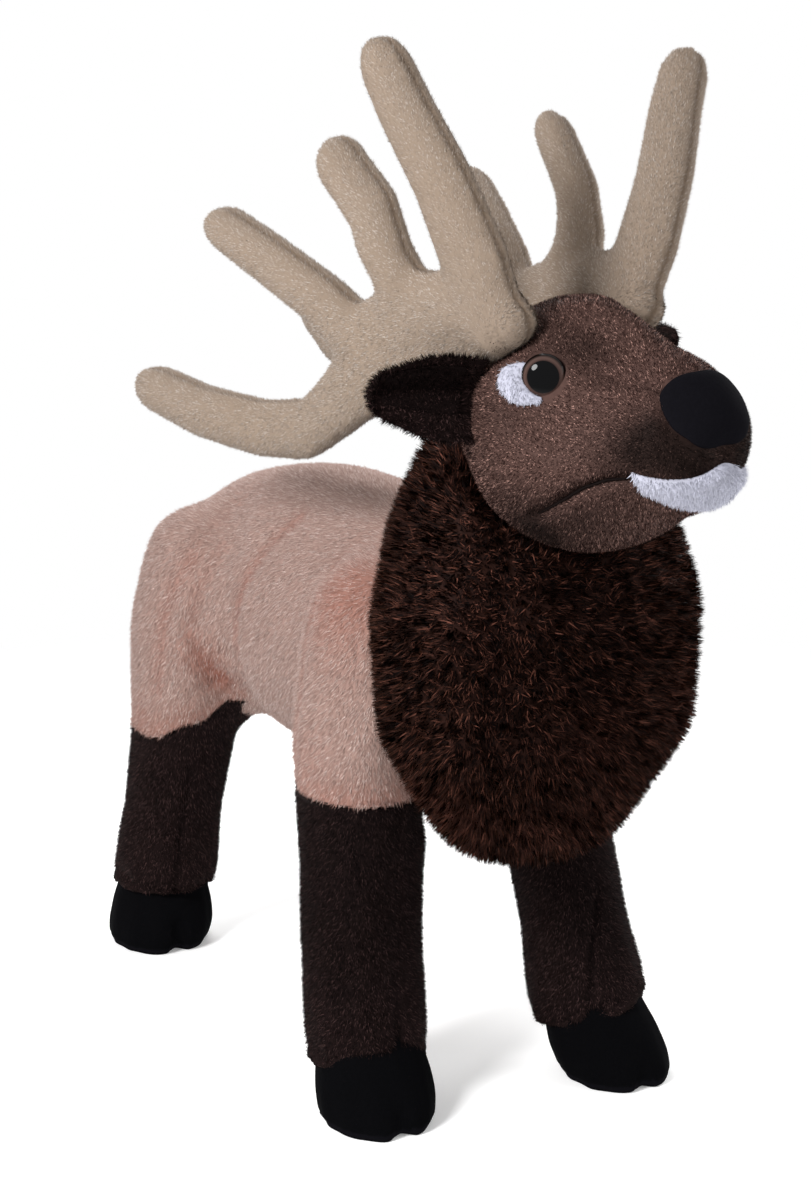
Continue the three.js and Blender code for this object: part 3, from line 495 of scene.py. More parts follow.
bladeLook = {
    "lengths": (0.7, 1.25), "widths": (0.7, 1.3),            # shares of the pile's own
    # the darker root colour is partly the fibres' own, partly painted shade down in the pile
    "along": (0.2, 0.2, 1),                                  # root to tip, at the three corners
    "uv": ((0.1, 0.1), (0.9, 0.1), (0.5, 0.9)),              # the corners in the blade's cell of the map
    "stray": 0.25,                                           # how far a root may stray to the next tuft, mm
    "hash": (73856093, 19349663, 83492791),                  # large primes that number the cells of space
}


def growPile(name, skin, look, body, slot, blend=None):
    # Roots are spread evenly over the skin. Each blade leans along the nap by its lean,
    # and its tip narrows to a point
    mesh = skin.data
    random = np.random.default_rng(look["seed"])
    points, normals, faces = cornersOf(mesh), normalsOf(mesh), trianglesOf(mesh)
    bare, tone = valueOf(mesh, "bare"), valueOf(mesh, "tone")
    first, second, third = points[faces[:, 0]], points[faces[:, 1]], points[faces[:, 2]]
    area = np.linalg.norm(np.cross(second - first, third - first), axis=1) / 2
    area = area * (bare[faces].max(1) < 0.5)
    if "where" in look:
        area = area * look["where"]((first + second + third) / 3)
    count = int(area.sum() / mm ** 2 * look["perSquareMm"])
    pick = random.choice(len(faces), count, p=area / area.sum())
    shares = random.random((count, 2))
    shares = np.where(shares.sum(1, keepdims=True) > 1, 1 - shares, shares)
    shares = np.column_stack([1 - shares.sum(1), shares])[:, :, None]
    corner = faces[pick]
    root = (points[corner] * shares).sum(1)
    normal = unit((normals[corner] * shares).sum(1))
    toneHere = (tone[corner] * shares[:, :, 0]).sum(1)
    nap = look["nap"](root)
    nap = unit(nap - normal * (nap * normal).sum(1, keepdims=True))
    side = np.cross(normal, nap)
    swing = random.normal(0, math.radians(look["swing"]), (count, 1))
    lean = np.radians(look["lean"] + random.normal(0, look["leanSpread"], (count, 1)))
    clump = look.get("clump")
    if clump:
        # Blades whose roots share a small cell of space make one tuft, with a turn, a lean and a tip
        # of its own
        strayed = root + random.normal(0, bladeLook["stray"] * mm, root.shape)
        cell = np.floor(strayed / (clump["size"] * mm)).astype(np.int64)
        group = np.unique((cell * np.array(bladeLook["hash"])).sum(1), return_inverse=True)[1]
        tufts = group.max() + 1
        swing = swing + random.normal(0, math.radians(clump["swing"]), (tufts, 1))[group]
        lean = lean + np.radians(random.normal(0, clump["lean"], (tufts, 1))[group])
    nap = nap * np.cos(swing) + side * np.sin(swing)
    side = np.cross(normal, nap)
    length = look["length"] * mm * random.uniform(*bladeLook["lengths"], (count, 1))
    tip = root + (nap * np.sin(lean) + normal * np.cos(lean)) * length
    if clump:
        size = np.bincount(group)[:, None]
        middle = np.stack([np.bincount(group, tip[:, axis]) for axis in range(3)], 1) / size
        tip = tip + (middle[group] - tip) * clump["pull"]
    half = look["width"] * mm / 2 * random.uniform(*bladeLook["widths"], (count, 1))
    root = root - normal * look["sink"] * mm
    corners = np.stack([root + side * half, root - side * half, tip], 1).reshape(-1, 3)
    order = np.arange(count * 3).reshape(-1, 3)
    made = meshObject(name, corners, order)
    pileMesh = made.data
    # How much of the glint colour each blade takes: a few fibres painted bright, painted highlights
    setValue(pileMesh, "shade", np.repeat(random.random(count) ** look["rareGlints"], 3))
    setValue(pileMesh, "along", np.tile(bladeLook["along"], count))
    setValue(pileMesh, "tone", np.repeat(toneHere, 3))
    facing = unit(normal + nap * look["facing"] + random.normal(0, look["jitter"], normal.shape))
    pileMesh.normals_split_custom_set_from_vertices(np.repeat(facing, 3, 0))
    # Each blade has a cell of its own on the map, so that every fibre keeps its colour
    across = math.ceil(math.sqrt(count))
    cells = np.stack([np.arange(count) % across, np.arange(count) // across], 1)
    uv = (cells[:, None, :] + np.array(bladeLook["uv"])[None]) / across
    layer = pileMesh.uv_layers.new(name="OFBake")
    layer.data.foreach_set("uv", uv.reshape(-1, 2)[order.ravel()].astype(np.float32).ravel())
    dress(made, body, slot, blend)
    print("pile:", name, count, "blades")
    return made


shortPile = {"leanSpread": 8, "swing": 16, "sink": 0.2, "facing": 0.2, "jitter": 0.25, "rareGlints": 3}


def steadyNap(*way):
    # One direction all over the piece
    return lambda points: np.tile(np.array([way], float), (len(points), 1))


def napFrom(place):
    # Away from the piece's root
    return lambda points: points - place


downNap = steadyNap(0, 0.1, -1)


# The body: one flowing skin over the trunk and the tops of the legs, parted into pieces that run on
# under each other

legNames = ["front_left", "front_right", "rear_left", "rear_right"]
trunkNodes = ["back_panel_left", "back_panel_right", "belly_gusset", "torso_stuffing"]
pads = {name: f"{name}_{'shoulder' if name.startswith('front') else 'haunch'}" for name in legNames}
legNodes = {name: [pads[name], f"{name}_stuffing", f"{name}_sleeve"] for name in legNames}
bodyLook = {
    "voxel": 4, "fillet": 8, "relax": 6, "swell": 2.0,
    "reach": 12,               # how far a piece runs on under its neighbour
    "dive": 3.5,               # how deep it lies there
    "bareDive": 0.5,           # no pile where it lies deeper than this
    "inset": 1.1,
    "snap": {"top": 60, "over": 20},        # below this the skin goes to the CAD's sleeves
    "pinned": 30, "heldFrom": 0.6,          # held below this height and along its folds while it swells
    # painted shade along the folds: its width as a share of the fold's, and its strength for each mm of depth
    "foldShade": {"width": 0.6, "share": 0.3},
    "pileFrom": -50,           # the trunk's pile stops under the ruff
    "hem": {"front": 104.5, "rear": 87},
    "hemWave": {"height": 0.5, "sideways": 9, "along": 11},
    # painted shade along the hem, where the peach plush tucks into the sleeve
    "hemShade": {"share": 0.5, "height": 9},
    "haunchHem": {             # steps in mm ahead of the hip and inward from it
        "middle": 14, "front": 8, "frontFrom": 9, "frontOver": 16,
        "inner": 9, "innerFrom": -10, "innerOver": 9, "innerAhead": 8, "aheadOver": 10},
    "bend": {"aboveHip": 20, "overHem": 4},
    "cuffCut": 5, "cuffTop": 50,            # the sleeve's end that is cut off, and where its stretch begins
    "sleeveInset": 1.0, "sleeveSeam": {"width": 1.3, "depth": 1.1},
    "cuff": {"front": 4.5, "rear": -1.5},   # how much lower the sleeves end than in the CAD
    "cuffSlope": {"front_left": 0.3, "front_right": 0.05, "rear_left": 0.03, "rear_right": 0.03},
    "fuller": {                # how much further out the front right leg stands than its twin
        "out": 3.5, "side": 4, "sideOver": 18, "behind": 35, "behindOver": 30,
        "top": 150, "topOver": 40, "foot": 15, "footOver": 45},
    # painted shade: the sleeves darker towards their tops, under the body and ruff, the front ones most
    "shadedSleeveTop": {"front": 0.5, "rear": 0.1, "from": 30, "over": 30},   # darker sleeves above the cuff
    "sleeveSeams": {           # a sewn line down each sleeve, the hidden ones mirrored
        "front_right": [(-27, -45, 106), (-27, -46, 72), (-32, -53, 41), (-33, -55, 20)],
        "front_left": [(48, -48, 106), (46, -50, 80), (44, -51, 62), (40, -54, 45), (37, -57, 20)],
        "rear_right": [(-34, 102, 92), (-36, 105, 67), (-38, 110, 45), (-40, 113, 20)],
        "rear_left": [(47, 102, 92), (48, 105, 67), (50, 110, 45), (52, 113, 20)],
    },
    "folds": [                 # on the right side, mirrored on the left: path, width, depth
        ([(-19, 95, 172), (-42, 88, 158), (-49, 96, 140), (-49, 105, 107)], 6, 1.3),
        ([(-31, 81, 164), (-42, 83, 148), (-44, 87, 129)], 4.5, 0.9),
        ([(-21, 43, 181), (-36, 59, 156), (-37, 63, 146), (-35, 67, 127), (-33, 70, 108)], 5, 1.8),
        ([(-44, 84, 127), (-40, 84, 120), (-31, 86, 113), (-26, 88, 110)], 3.5, 2.6),
        ([(-8, -2, 186), (-27, 3, 174), (-41, -9, 166), (-44, -8, 152), (-46, -10, 133), (-46, -10, 106)],
         3, 1.2),
    ],
    # painted shade: pinkish darker spots below the ruff and by the haunch's folds, mirrored on the left
    "pinkShadeSpots": [((-34, -26, 170), 20, 0.75), ((-46, -20, 112), 14, 0.35), ((-48, 118, 92), 10, 0.5),
                  ((-40, 84, 122), 9, 0.6), ((-30, 87, 112), 8, 0.6)],
}
middleX = (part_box("back_panel_left")[1].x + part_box("back_panel_right")[0].x) / 2 / mm


def mirroredPlace(place):
    return (2 * middleX - place[0], place[1], place[2])


def shapedBody():
    everything = trunkNodes + [node for name in legNames for node in legNodes[name]]
    skin = closedForm("flow", everything, bodyLook["voxel"], bodyLook["relax"], bodyLook["fillet"])
    points = cornersOf(skin.data)
    creases = np.zeros(len(points))
    folds = bodyLook["folds"]
    folds = folds + [([mirroredPlace(place) for place in path], width, depth) for path, width, depth in folds]
    for path, width, depth in folds:
        creases = np.maximum(creases, pathField(points, path, width))
    # Near the floor the sleeves keep the CAD's form, which the fillet would flare
    tree = treeOf(*joinedParts([f"{name}_sleeve" for name in legNames]))
    nearest = np.array([tree.find_nearest(point)[0] for point in points.tolist()])
    snap = bodyLook["snap"]
    share = eased((snap["top"] * mm - points[:, 2]) / (snap["over"] * mm))[:, None]
    setCorners(skin.data, points + (nearest - points) * share)
    smoothed(skin, 2)
    points = cornersOf(skin.data)
    held = (creases > bodyLook["heldFrom"]) | (points[:, 2] < bodyLook["pinned"] * mm)
    swell(skin, held, bodyLook["swell"])
    refined(skin)
    mesh = skin.data
    points, normals = cornersOf(mesh), normalsOf(mesh)
    depthHere, tone = np.zeros(len(points)), np.zeros(len(points))
    # Painted shade: a dark pink line along each fold, stronger where the fold is deeper
    foldShade = bodyLook["foldShade"]
    for path, width, depth in folds:
        depthHere = np.maximum(depthHere, pathField(points, path, width) * depth)
        foldShadePath = pathField(points, path, width * foldShade["width"])
        tone = np.maximum(tone, foldShadePath * min(1, depth * foldShade["share"]))
    points = points - normals * (depthHere * mm)[:, None]
    fuller = bodyLook["fuller"]
    across, along, up = (points / mm).T
    share = (eased((jointAt["front_right_hip"][0] / mm + fuller["side"] - across) / fuller["sideOver"])
             * eased((fuller["behind"] - along) / fuller["behindOver"])
             * eased((fuller["top"] - up) / fuller["topOver"])
             * eased((up - fuller["foot"]) / fuller["footOver"]))
    points[:, 0] -= fuller["out"] * mm * share
    setCorners(mesh, points)
    # The painted shade of the folds and of the pinkish spots
    spots = bodyLook["pinkShadeSpots"]
    spots = spots + [(mirroredPlace(place), radius, strength) for place, radius, strength in spots]
    setValue(mesh, "tone", np.clip(tone + spotField(points, spots), 0, 1))
    return skin


def pieceOf(name, skin, own):
    # The part of the skin with a high enough share of its own. Past its border it dives under its neighbour
    mesh = skin.data
    keep = own > -bodyLook["reach"] * mm
    dive = bodyLook["dive"] * eased(-own / (bodyLook["reach"] * mm))
    points = cornersOf(mesh) - normalsOf(mesh) * (dive * mm)[:, None]
    quads = quadsOf(mesh)
    quads = quads[keep[quads].all(1)]
    used = np.unique(quads)
    number = np.zeros(len(points), np.int64)
    number[used] = np.arange(len(used))
    made = meshObject(name, points[used], number[quads])
    setValue(made.data, "tone", valueOf(mesh, "tone")[used])
    setValue(made.data, "bare", (dive[used] > bodyLook["bareDive"]).astype(np.float32))
    return reshaped(made, closeRims)


def hemRise(name, points):
    # How much higher than its level the peach plush ends: higher on the front of a hind leg, and a soft wave
    hip = jointAt[f"{name}_hip"]
    outward = 1 if name.endswith("left") else -1
    wave, look = bodyLook["hemWave"], bodyLook["haunchHem"]
    wave = (wave["height"] * np.sin(points[:, 0] / (wave["sideways"] * mm))
            * np.cos(points[:, 1] / (wave["along"] * mm)))
    if name.startswith("front"):
        return wave * mm
    ahead = look["middle"] + (hip[1] - points[:, 1]) / mm
    inward = (hip[0] - points[:, 0]) * outward / mm
    rise = look["front"] * eased((ahead - look["frontFrom"]) / look["frontOver"])
    rise += (look["inner"] * eased((inward - look["innerFrom"]) / look["innerOver"])
             * eased((ahead - look["innerAhead"]) / look["aheadOver"]))
    return (wave + rise) * mm


def cutLevel(thing, level, keepAbove):
    def cut(shape):
        everything = shape.verts[:] + shape.edges[:] + shape.faces[:]
        made = bmesh.ops.bisect_plane(shape, geom=everything, plane_co=(0, 0, level), plane_no=(0, 0, 1),
                                      clear_inner=keepAbove, clear_outer=not keepAbove)
        rim = [part for part in made["geom_cut"] if isinstance(part, bmesh.types.BMEdge)]
        bmesh.ops.holes_fill(shape, edges=rim, sides=0)
    return reshaped(thing, cut)


def cutAtHem(thing, name, keepAbove):
    # The skin is sheared so that the hem is level, cut there, closed and sheared back
    points = cornersOf(thing.data)
    points[:, 2] -= hemRise(name, points)
    setCorners(thing.data, points)
    cutLevel(thing, bodyLook["hem"][name.split("_")[0]] * mm, keepAbove)
    points = cornersOf(thing.data)
    points[:, 2] += hemRise(name, points)
    setCorners(thing.data, points)
    return thing


flow = shapedBody()
flowPoints = cornersOf(flow.data)
toTrunk = distancesTo(trunkNodes, flowPoints)
toLegs = {name: distancesTo(legNodes[name], flowPoints) for name in legNames}
print("stage: body form", len(flowPoints))

bodyPile = shortPile | {"perSquareMm": 3.0, "length": 2.1, "width": 0.32, "lean": 66,
                        "nap": steadyNap(0, 0.45, -0.9)}
sleevePile = shortPile | {"perSquareMm": 4.5, "length": 1.6, "width": 0.3, "lean": 55, "leanSpread": 14,
                          "swing": 30, "jitter": 0.35, "rareGlints": 5, "nap": downNap}


def behindRuff(middles):
    return middles[:, 1] > bodyLook["pileFrom"] * mm


trunk = pieceOf("trunk_skin", flow, np.min([toLegs[name] for name in legNames], axis=0) - toTrunk)
skinned(trunk, bodyLook["inset"])
dress(trunk, "torso", "body_plush", replaced=trunkNodes)
growPile("trunk_pile", trunk, bodyPile | {"seed": 1, "where": behindRuff}, "torso", "body_plush")

for number, name in enumerate(legNames):
    body = f"{name}_leg"
    end = name.split("_")[0]
    hip = jointAt[f"{name}_hip"]
    level = bodyLook["hem"][end] * mm
    bendTop, bendFoot = hip[2] + bodyLook["bend"]["aboveHip"] * mm, level + bodyLook["bend"]["overHem"] * mm
    bend = ("torso", body, (hip[0], hip[1], bendTop), (hip[0], hip[1], bendFoot))
    others = np.min([toTrunk] + [toLegs[other] for other in legNames if other != name], axis=0)
    upper = pieceOf(f"{name}_top_skin", flow, others - toLegs[name])
    lower = bpy.data.objects.new(f"{name}_sleeve_skin", upper.data.copy())
    scene.collection.objects.link(lower)
    cutAtHem(upper, name, True)
    cutAtHem(lower, name, False)
    heights = cornersOf(upper.data)[:, 2] - hemRise(name, cornersOf(upper.data)) - level
    # Painted shade along the hem
    hemShade = bodyLook["hemShade"]
    skinned(upper, bodyLook["inset"],
            tone=hemShade["share"] * np.exp(-(heights / (hemShade["height"] * mm)) ** 2))
    dress(upper, body, "body_plush", blend=bend, replaced=[pads[name], f"{name}_stuffing"])
    growPile(f"{name}_top_pile", upper, bodyPile | {"seed": 2 + number}, body, "body_plush", blend=bend)
    # The sleeve's end is cut off level, and the part above is drawn down to a clean, sloping cuff
    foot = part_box(f"{name}_sleeve")[0].z + bodyLook["cuffCut"] * mm
    top = bodyLook["cuffTop"] * mm
    cutLevel(lower, foot, True)
    points = cornersOf(lower.data)
    draw = (bodyLook["cuff"][end] + bodyLook["cuffCut"]) * mm
    draw = draw - bodyLook["cuffSlope"][name] * (points[:, 0] - hip[0])
    points[:, 2] -= draw * eased((top - points[:, 2]) / (top - foot))
    setCorners(lower.data, points)
    # The sleeve's seam and its top take painted shade
    seam, dark = bodyLook["sleeveSeam"], bodyLook["shadedSleeveTop"]
    skinned(lower, bodyLook["sleeveInset"], seamDepth=seam["depth"],
            seam=pathField(points, bodyLook["sleeveSeams"][name], seam["width"]),
            tone=dark[end] * eased((points[:, 2] - dark["from"] * mm) / (dark["over"] * mm)))
    dress(lower, body, "dark_plush", replaced=[f"{name}_sleeve"])
    growPile(f"{name}_sleeve_pile", lower, sleevePile | {"seed": 6 + number}, body, "dark_plush")
bpy.data.objects.remove(flow)
print("stage: trunk and legs")


# Hooves

hoofLook = {"voxel": 1.8, "relax": 8, "fillet": 2, "seamWidth": 0.7, "seamDepth": 0.4}
for name in legNames:
    parts = [f"{name}_hoof", f"{name}_sole"]
    hoof = closedForm(f"{name}_hoof_skin", parts, hoofLook["voxel"], hoofLook["relax"], hoofLook["fillet"])
    seam = seamField(cornersOf(refined(hoof).data), [[part] for part in parts], hoofLook["seamWidth"])
    skinned(hoof, 0, seam=seam, seamDepth=hoofLook["seamDepth"])
    dress(hoof, f"{name}_leg", "black_plush", replaced=parts)
print("stage: hooves")


# The ruff: long pile in small tufts that lean every way

ruffLook = {
    "voxel": 3.5, "relax": 4, "grow": 4.4,
    "wider": 0.2, "widest": 130, "tall": 75,        # sideways, as a bell over the height
    "bareNear": 2.5,                                # no pile this near to the trunk
    # painted light: a reddish glow at the ruff's lower and side edges
    "glowSpots": [((6, -111, 138), 13, 0.5), ((-29, -75, 113), 14, 0.7), ((1, -96, 105), 14, 0.6),
                   ((40, -102, 145), 14, 0.4), ((20, -100, 116), 10, 0.4)],
    "pile": {"perSquareMm": 3.8, "length": 4.3, "width": 0.46, "lean": 22, "leanSpread": 12, "swing": 50,
             "sink": 0.5, "facing": 0.3, "jitter": 0.45, "rareGlints": 5,
             "clump": {"size": 2.3, "swing": 110, "lean": 22, "pull": 0.42}, "nap": downNap},
}
ruff = refined(closedForm("ruff_skin", ["neck_stuffing"], ruffLook["voxel"], ruffLook["relax"]))
points = cornersOf(ruff.data)
wider = ruffLook["wider"] * np.exp(-((points[:, 2] / mm - ruffLook["widest"]) / ruffLook["tall"]) ** 2)
points[:, 0] += (points[:, 0] - middleX * mm) * wider
setCorners(ruff.data, points)
# The spots take the ruff's painted reddish glow
skinned(ruff, -ruffLook["grow"], tone=spotField(points, ruffLook["glowSpots"]))
nearTrunk = distancesTo(trunkNodes, cornersOf(ruff.data)) < ruffLook["bareNear"] * mm
setValue(ruff.data, "bare", nearTrunk.astype(np.float32))
dress(ruff, "torso", "shag_plush", replaced=["mane_left", "mane_right", "neck_stuffing"])
for number, side in enumerate(("left", "right")):
    sign = 1 if side == "left" else -1
    growPile(f"ruff_{side}_pile", ruff, ruffLook["pile"] | {
        "seed": 10 + number, "where": lambda middle, sign=sign: (middle[:, 0] - middleX * mm) * sign > 0,
    }, "torso", "shag_plush")
print("stage: ruff")


# The head, in its own axes: sideways to its left, back, and up from the middle of the skull

headMiddle = jointAt["head_turn"]
headTurn = math.radians(13)
headSide = np.array([math.cos(headTurn), math.sin(headTurn), 0.0])
headBack = np.array([-math.sin(headTurn), math.cos(headTurn), 0.0])
headAxes = np.stack([headSide, headBack, [0, 0, 1]])
headNodes = ["face_left", "face_right", "forehead_gusset", "jaw", "head_stuffing"]
headLook = {
    "voxel": 3, "relax": 4, "fillet": 2, "swell": 1.2, "inset": 0.5,
    "mouth": [(20.8, -39.6, -8.2), (24.8, -33, -9.2), (28.5, -26.5, -12.2), (30.5, -18.5, -17.5),
              (30.3, -9, -22.9)],
    "mouthWidths": {"held": 3, "press": 1.7, "tone": 1.2}, "mouthDepth": 2.8,
    "mouthBare": 0.7, "bareNear": 0.7,    # no pile where the mouth's tone is higher, or this near to a patch
    # The stuffed face is wedge-shaped: at the eyes and beside the bridge it draws in, back and a little down
    "wedge": {"draw": 8, "from": 17, "middle": -18, "spread": 17, "floor": -10, "height": 22,
              "way": (0.66, 0.75, -0.25)},
    "presses": [((29, -9, 17), 10, 1.8), ((0, -49, -18), 10, -3.2), ((0, -58, 0), 3.5, 1.5)],
    # painted shade above the eyes, in the bridge's valley, round the nose and under the cheeks and jaw
    "shadeSpots": [((24, -12, 33), 10, 0.9), ((17, -16, 30), 8, 0.8), ((22, -40, 0), 10, 0.9),
                  ((11, -54, -2), 11, 1.1), ((18, -25, 28), 6, 0.6), ((34, 4, 4), 9, 0.3),
                  ((30, -6, -28), 12, 0.8), ((20, -48, 8), 7, 0.6), ((24, -26, -24), 9, 0.5),
                  ((20, -6, -36), 14, 0.6)],
    "gusset": {"width": 1.2, "share": 0.5, "depth": 0.6},
    "mouthSeam": {"radius": 0.55, "end": 0.98, "start": (0, -22, -8), "steps": 60, "sides": 8},
    "rays": 120,               # from how far off a line is cast onto the head's surface, mm
    "nap": (0, 0.9, -0.45),
}


def headPlace(places):
    # From the head's own axes, mm, to the frame, metres
    return headMiddle + np.array(places, float) * mm @ headAxes


def bothSides(places):
    return [places, [(-side, back, up) for side, back, up in places]]


def inFrame(path):
    return (headPlace(path) / mm).tolist()


def wedged(points):
    # Towards the middle, back and down by the draw, times bells and steps over the place in the head's
    # own axes
    look = headLook["wedge"]
    local = (points - headMiddle) @ headAxes.T / mm
    side, back, up = local.T
    draw = (look["draw"] * eased(np.abs(side) / look["from"]) * eased((up - look["floor"]) / look["height"])
            * np.exp(-((back - look["middle"]) / look["spread"]) ** 2))
    way = np.stack([-np.sign(side) * look["way"][0], np.full_like(side, look["way"][1]),
                    np.full_like(side, look["way"][2])], 1)
    return headPlace(local + draw[:, None] * way)


def mirrored(place):
    return (-place[0], place[1], place[2])


def mouthField(points, width):
    return np.max([pathField(points, inFrame(path), width) for path in bothSides(headLook["mouth"])], axis=0)


def headSpots(spots):
    # From the head's own axes to the frame, with a mirrored twin of each spot that is off the middle
    found = []
    for spot, radius, strength in spots:
        twins = [spot, mirrored(spot)] if spot[0] else [spot]
        found += [(tuple(place), radius, strength) for place in inFrame(twins)]
    return found


head = closedForm("head_skin", headNodes, headLook["voxel"], headLook["relax"], headLook["fillet"])
widths = headLook["mouthWidths"]
held = mouthField(cornersOf(head.data), widths["held"]) > clothLook["heldFrom"]
swell(head, held, headLook["swell"])
refined(head)
setCorners(head.data, wedged(cornersOf(head.data)))
smoothed(head, 1)
points, normals = cornersOf(head.data), normalsOf(head.data)
press = spotField(points, headSpots(headLook["presses"]))
for path in bothSides(headLook["mouth"]):
    press += headLook["mouthDepth"] * pathField(points, inFrame(path), widths["press"])
setCorners(head.data, points - normals * (press * mm)[:, None])
headPoints = cornersOf(head.data)
headTree = treeOf(headPoints, trianglesOf(head.data))
# Painted shade in the mouth's crease
mouthTone = mouthField(headPoints, widths["tone"])
seam = headLook["gusset"]
gusset = seamField(headPoints, [["face_left", "face_right"], ["forehead_gusset"]], seam["width"])
gusset = gusset * (headPoints[:, 2] > headMiddle[2]) * seam["share"]
# Painted shade: the shade spots, the mouth's crease and the gusset's seam
skinned(head, headLook["inset"], seam=gusset, seamDepth=seam["depth"],
        tone=np.clip(spotField(headPoints, headSpots(headLook["shadeSpots"])) + mouthTone, 0, 1))
dress(head, "head", "head_plush", replaced=headNodes)


def castOnHead(start, aims):
    # Where the lines from a start through each aim leave the head's surface, and the surface's normals there
    start, reach = headPlace(start), headLook["rays"] * mm
    lines = unit(headPlace(aims) - start)
    hits = [headTree.ray_cast(Vector(start + line * reach), Vector(-line), reach) for line in lines]
    return np.array([hit[0] for hit in hits]), np.array([hit[1] for hit in hits])


def mouthSeamOf(side):
    # A thin cord along the mouth's line on the skin, a ring of points at each step.
    # It thins as √(1 − s⁴) to its ends
    look = headLook["mouthSeam"]
    path = np.array(headLook["mouth"]) * [1 if side == "left" else -1, 1, 1]
    steps = np.linspace(0, len(path) - 1, look["steps"])
    aims = np.stack([np.interp(steps, np.arange(len(path)), path[:, axis]) for axis in range(3)], 1)
    place, normal = castOnHead(look["start"], aims)
    across = unit(np.cross(np.gradient(place, axis=0), normal))
    share = np.linspace(-look["end"], look["end"], look["steps"])
    thick = look["radius"] * mm * np.sqrt(1 - share ** 4)[:, None, None]
    angle = np.linspace(0, 2 * math.pi, look["sides"], endpoint=False)[None, :, None]
    rings = place[:, None] + (np.cos(angle) * across[:, None] + np.sin(angle) * normal[:, None]) * thick
    index = np.arange(look["steps"] * look["sides"]).reshape(look["steps"], look["sides"])
    after = np.roll(index, -1, 1)
    quads = np.stack([index[:-1], after[:-1], after[1:], index[1:]], 2).reshape(-1, 4)
    made = reshaped(meshObject(f"mouth_seam_{side}", rings.reshape(-1, 3), quads), closeRims)
    reshaped(made, turnOutward)
    # Full tone: the head's painted shade colour, a dark line of shade along the mouth's crease
    setValue(made.data, "tone", np.ones(len(made.data.vertices)))
    return dress(made, "head", "head_plush")


for side in ("left", "right"):
    mouthSeamOf(side)


# Nose, lip and eye patches: cushions on the head's surface

coveredPlaces = []


def cushion(name, top, under):
    # Two grids of points, rows by columns, closed round their rim
    rows, columns = top.shape[:2]
    index = np.arange(rows * columns).reshape(rows, columns)
    cells = np.stack([index[:-1, :-1], index[:-1, 1:], index[1:, 1:], index[1:, :-1]], 2).reshape(-1, 4)
    rim = np.concatenate([index[0, :-1], index[:-1, -1], index[-1, :0:-1], index[:0:-1, 0]])
    after = np.roll(rim, -1)
    count = rows * columns
    walls = np.stack([rim, rim + count, after + count, after], 1)
    faces = np.concatenate([cells, cells[:, ::-1] + count, walls])
    made = meshObject(name, np.concatenate([top.reshape(-1, 3), under.reshape(-1, 3)]), faces)
    reshaped(made, turnOutward)
    smoothed(made, 1)
    setValue(made.data, "bare", np.repeat([0.0, 1.0], count))
    return made


def patchOnHead(name, aims, proud, sink, start):
    # Each grid point is carried along the line from the start through its aim to the head's surface. The
    # top bulges by proud times (1 − u⁴)(1 − v⁴), u and v running from −1 to 1 over the grid, and the
    # underside sinks in
    rows, columns = aims.shape[:2]
    place, normal = (found.reshape(aims.shape) for found in castOnHead(start, aims.reshape(-1, 3)))
    coveredPlaces.append(place[2:-2, 2:-2].reshape(-1, 3))
    u = np.linspace(-1, 1, columns)[None, :, None]
    v = np.linspace(-1, 1, rows)[:, None, None]
    bulge = proud * (1 - u ** 4) * (1 - v ** 4) * mm
    return skinned(cushion(name, place + normal * bulge, place - normal * sink * mm), 0)


noseLook = {
    "middle": 13, "halfWidth": 19, "up": 11.5, "down": 11.5, "taper": 0.16, "rounding": 0.26, "ahead": -52,
    "proud": 1.8, "sink": 1.5, "start": (0, -14, 8), "grid": 30, "tone": 0.8,
}
# A rounded shield: the height shrinks by rounding × u⁴ and the width by rounding × v⁴, and below its
# middle it narrows by taper × v
u, v = np.meshgrid(np.linspace(-1, 1, noseLook["grid"]), np.linspace(-1, 1, noseLook["grid"]))
height = v * (1 - noseLook["rounding"] * u ** 4)
height = noseLook["middle"] + np.where(v > 0, height * noseLook["up"], height * noseLook["down"])
taper = 1 - noseLook["taper"] * np.clip(-v, 0, 1)
across = u * (1 - noseLook["rounding"] * v ** 4) * noseLook["halfWidth"] * taper
noseAims = np.stack([across, np.full_like(u, noseLook["ahead"]), height], 2)
nose = refined(patchOnHead("nose_skin", noseAims, noseLook["proud"], noseLook["sink"], noseLook["start"]))
setValue(nose.data, "tone", np.full(len(nose.data.vertices), noseLook["tone"]))
dress(nose, "head", "black_plush", replaced=["nose"])

lipLook = {
    "turn": 47, "top": -8.2, "peak": 4.6, "peakWidth": 8, "least": 1, "depth": 12.5, "round": 0.6,
    "proud": 2.8, "sink": 1.0, "reach": 36, "middle": -20, "grid": (48, 16),
}
# A crescent round the chin: its top edge rises as a bell in the middle, and its depth falls to the
# corners as (1 − share²) to the power of round
turn = np.radians(np.linspace(-lipLook["turn"], lipLook["turn"], lipLook["grid"][0]))[None, :]
aside = lipLook["reach"] * np.sin(turn)
topEdge = lipLook["top"] + lipLook["peak"] * np.exp(-(aside / lipLook["peakWidth"]) ** 2)
drop = lipLook["depth"] * (1 - (turn / turn.max()) ** 2) ** lipLook["round"]
bottomEdge = lipLook["top"] - lipLook["least"] - drop
share = np.linspace(0, 1, lipLook["grid"][1])[:, None]
lipAims = np.stack(np.broadcast_arrays(
    aside, lipLook["middle"] - lipLook["reach"] * np.cos(turn), topEdge + (bottomEdge - topEdge) * share), 2)
lip = patchOnHead("lip_skin", lipAims, lipLook["proud"], lipLook["sink"], (0, lipLook["middle"], 0))
dress(lip, "head", "white_plush", replaced=["lower_lip"])
whitePile = shortPile | {"perSquareMm": 4.0, "length": 1.7, "width": 0.4, "lean": 60, "nap": downNap}
growPile("lip_pile", lip, whitePile | {"seed": 21}, "head", "white_plush")
print("stage: head form")


# Eyes: a domed plastic eye turned about its own axis, with a white plush crescent behind and below it

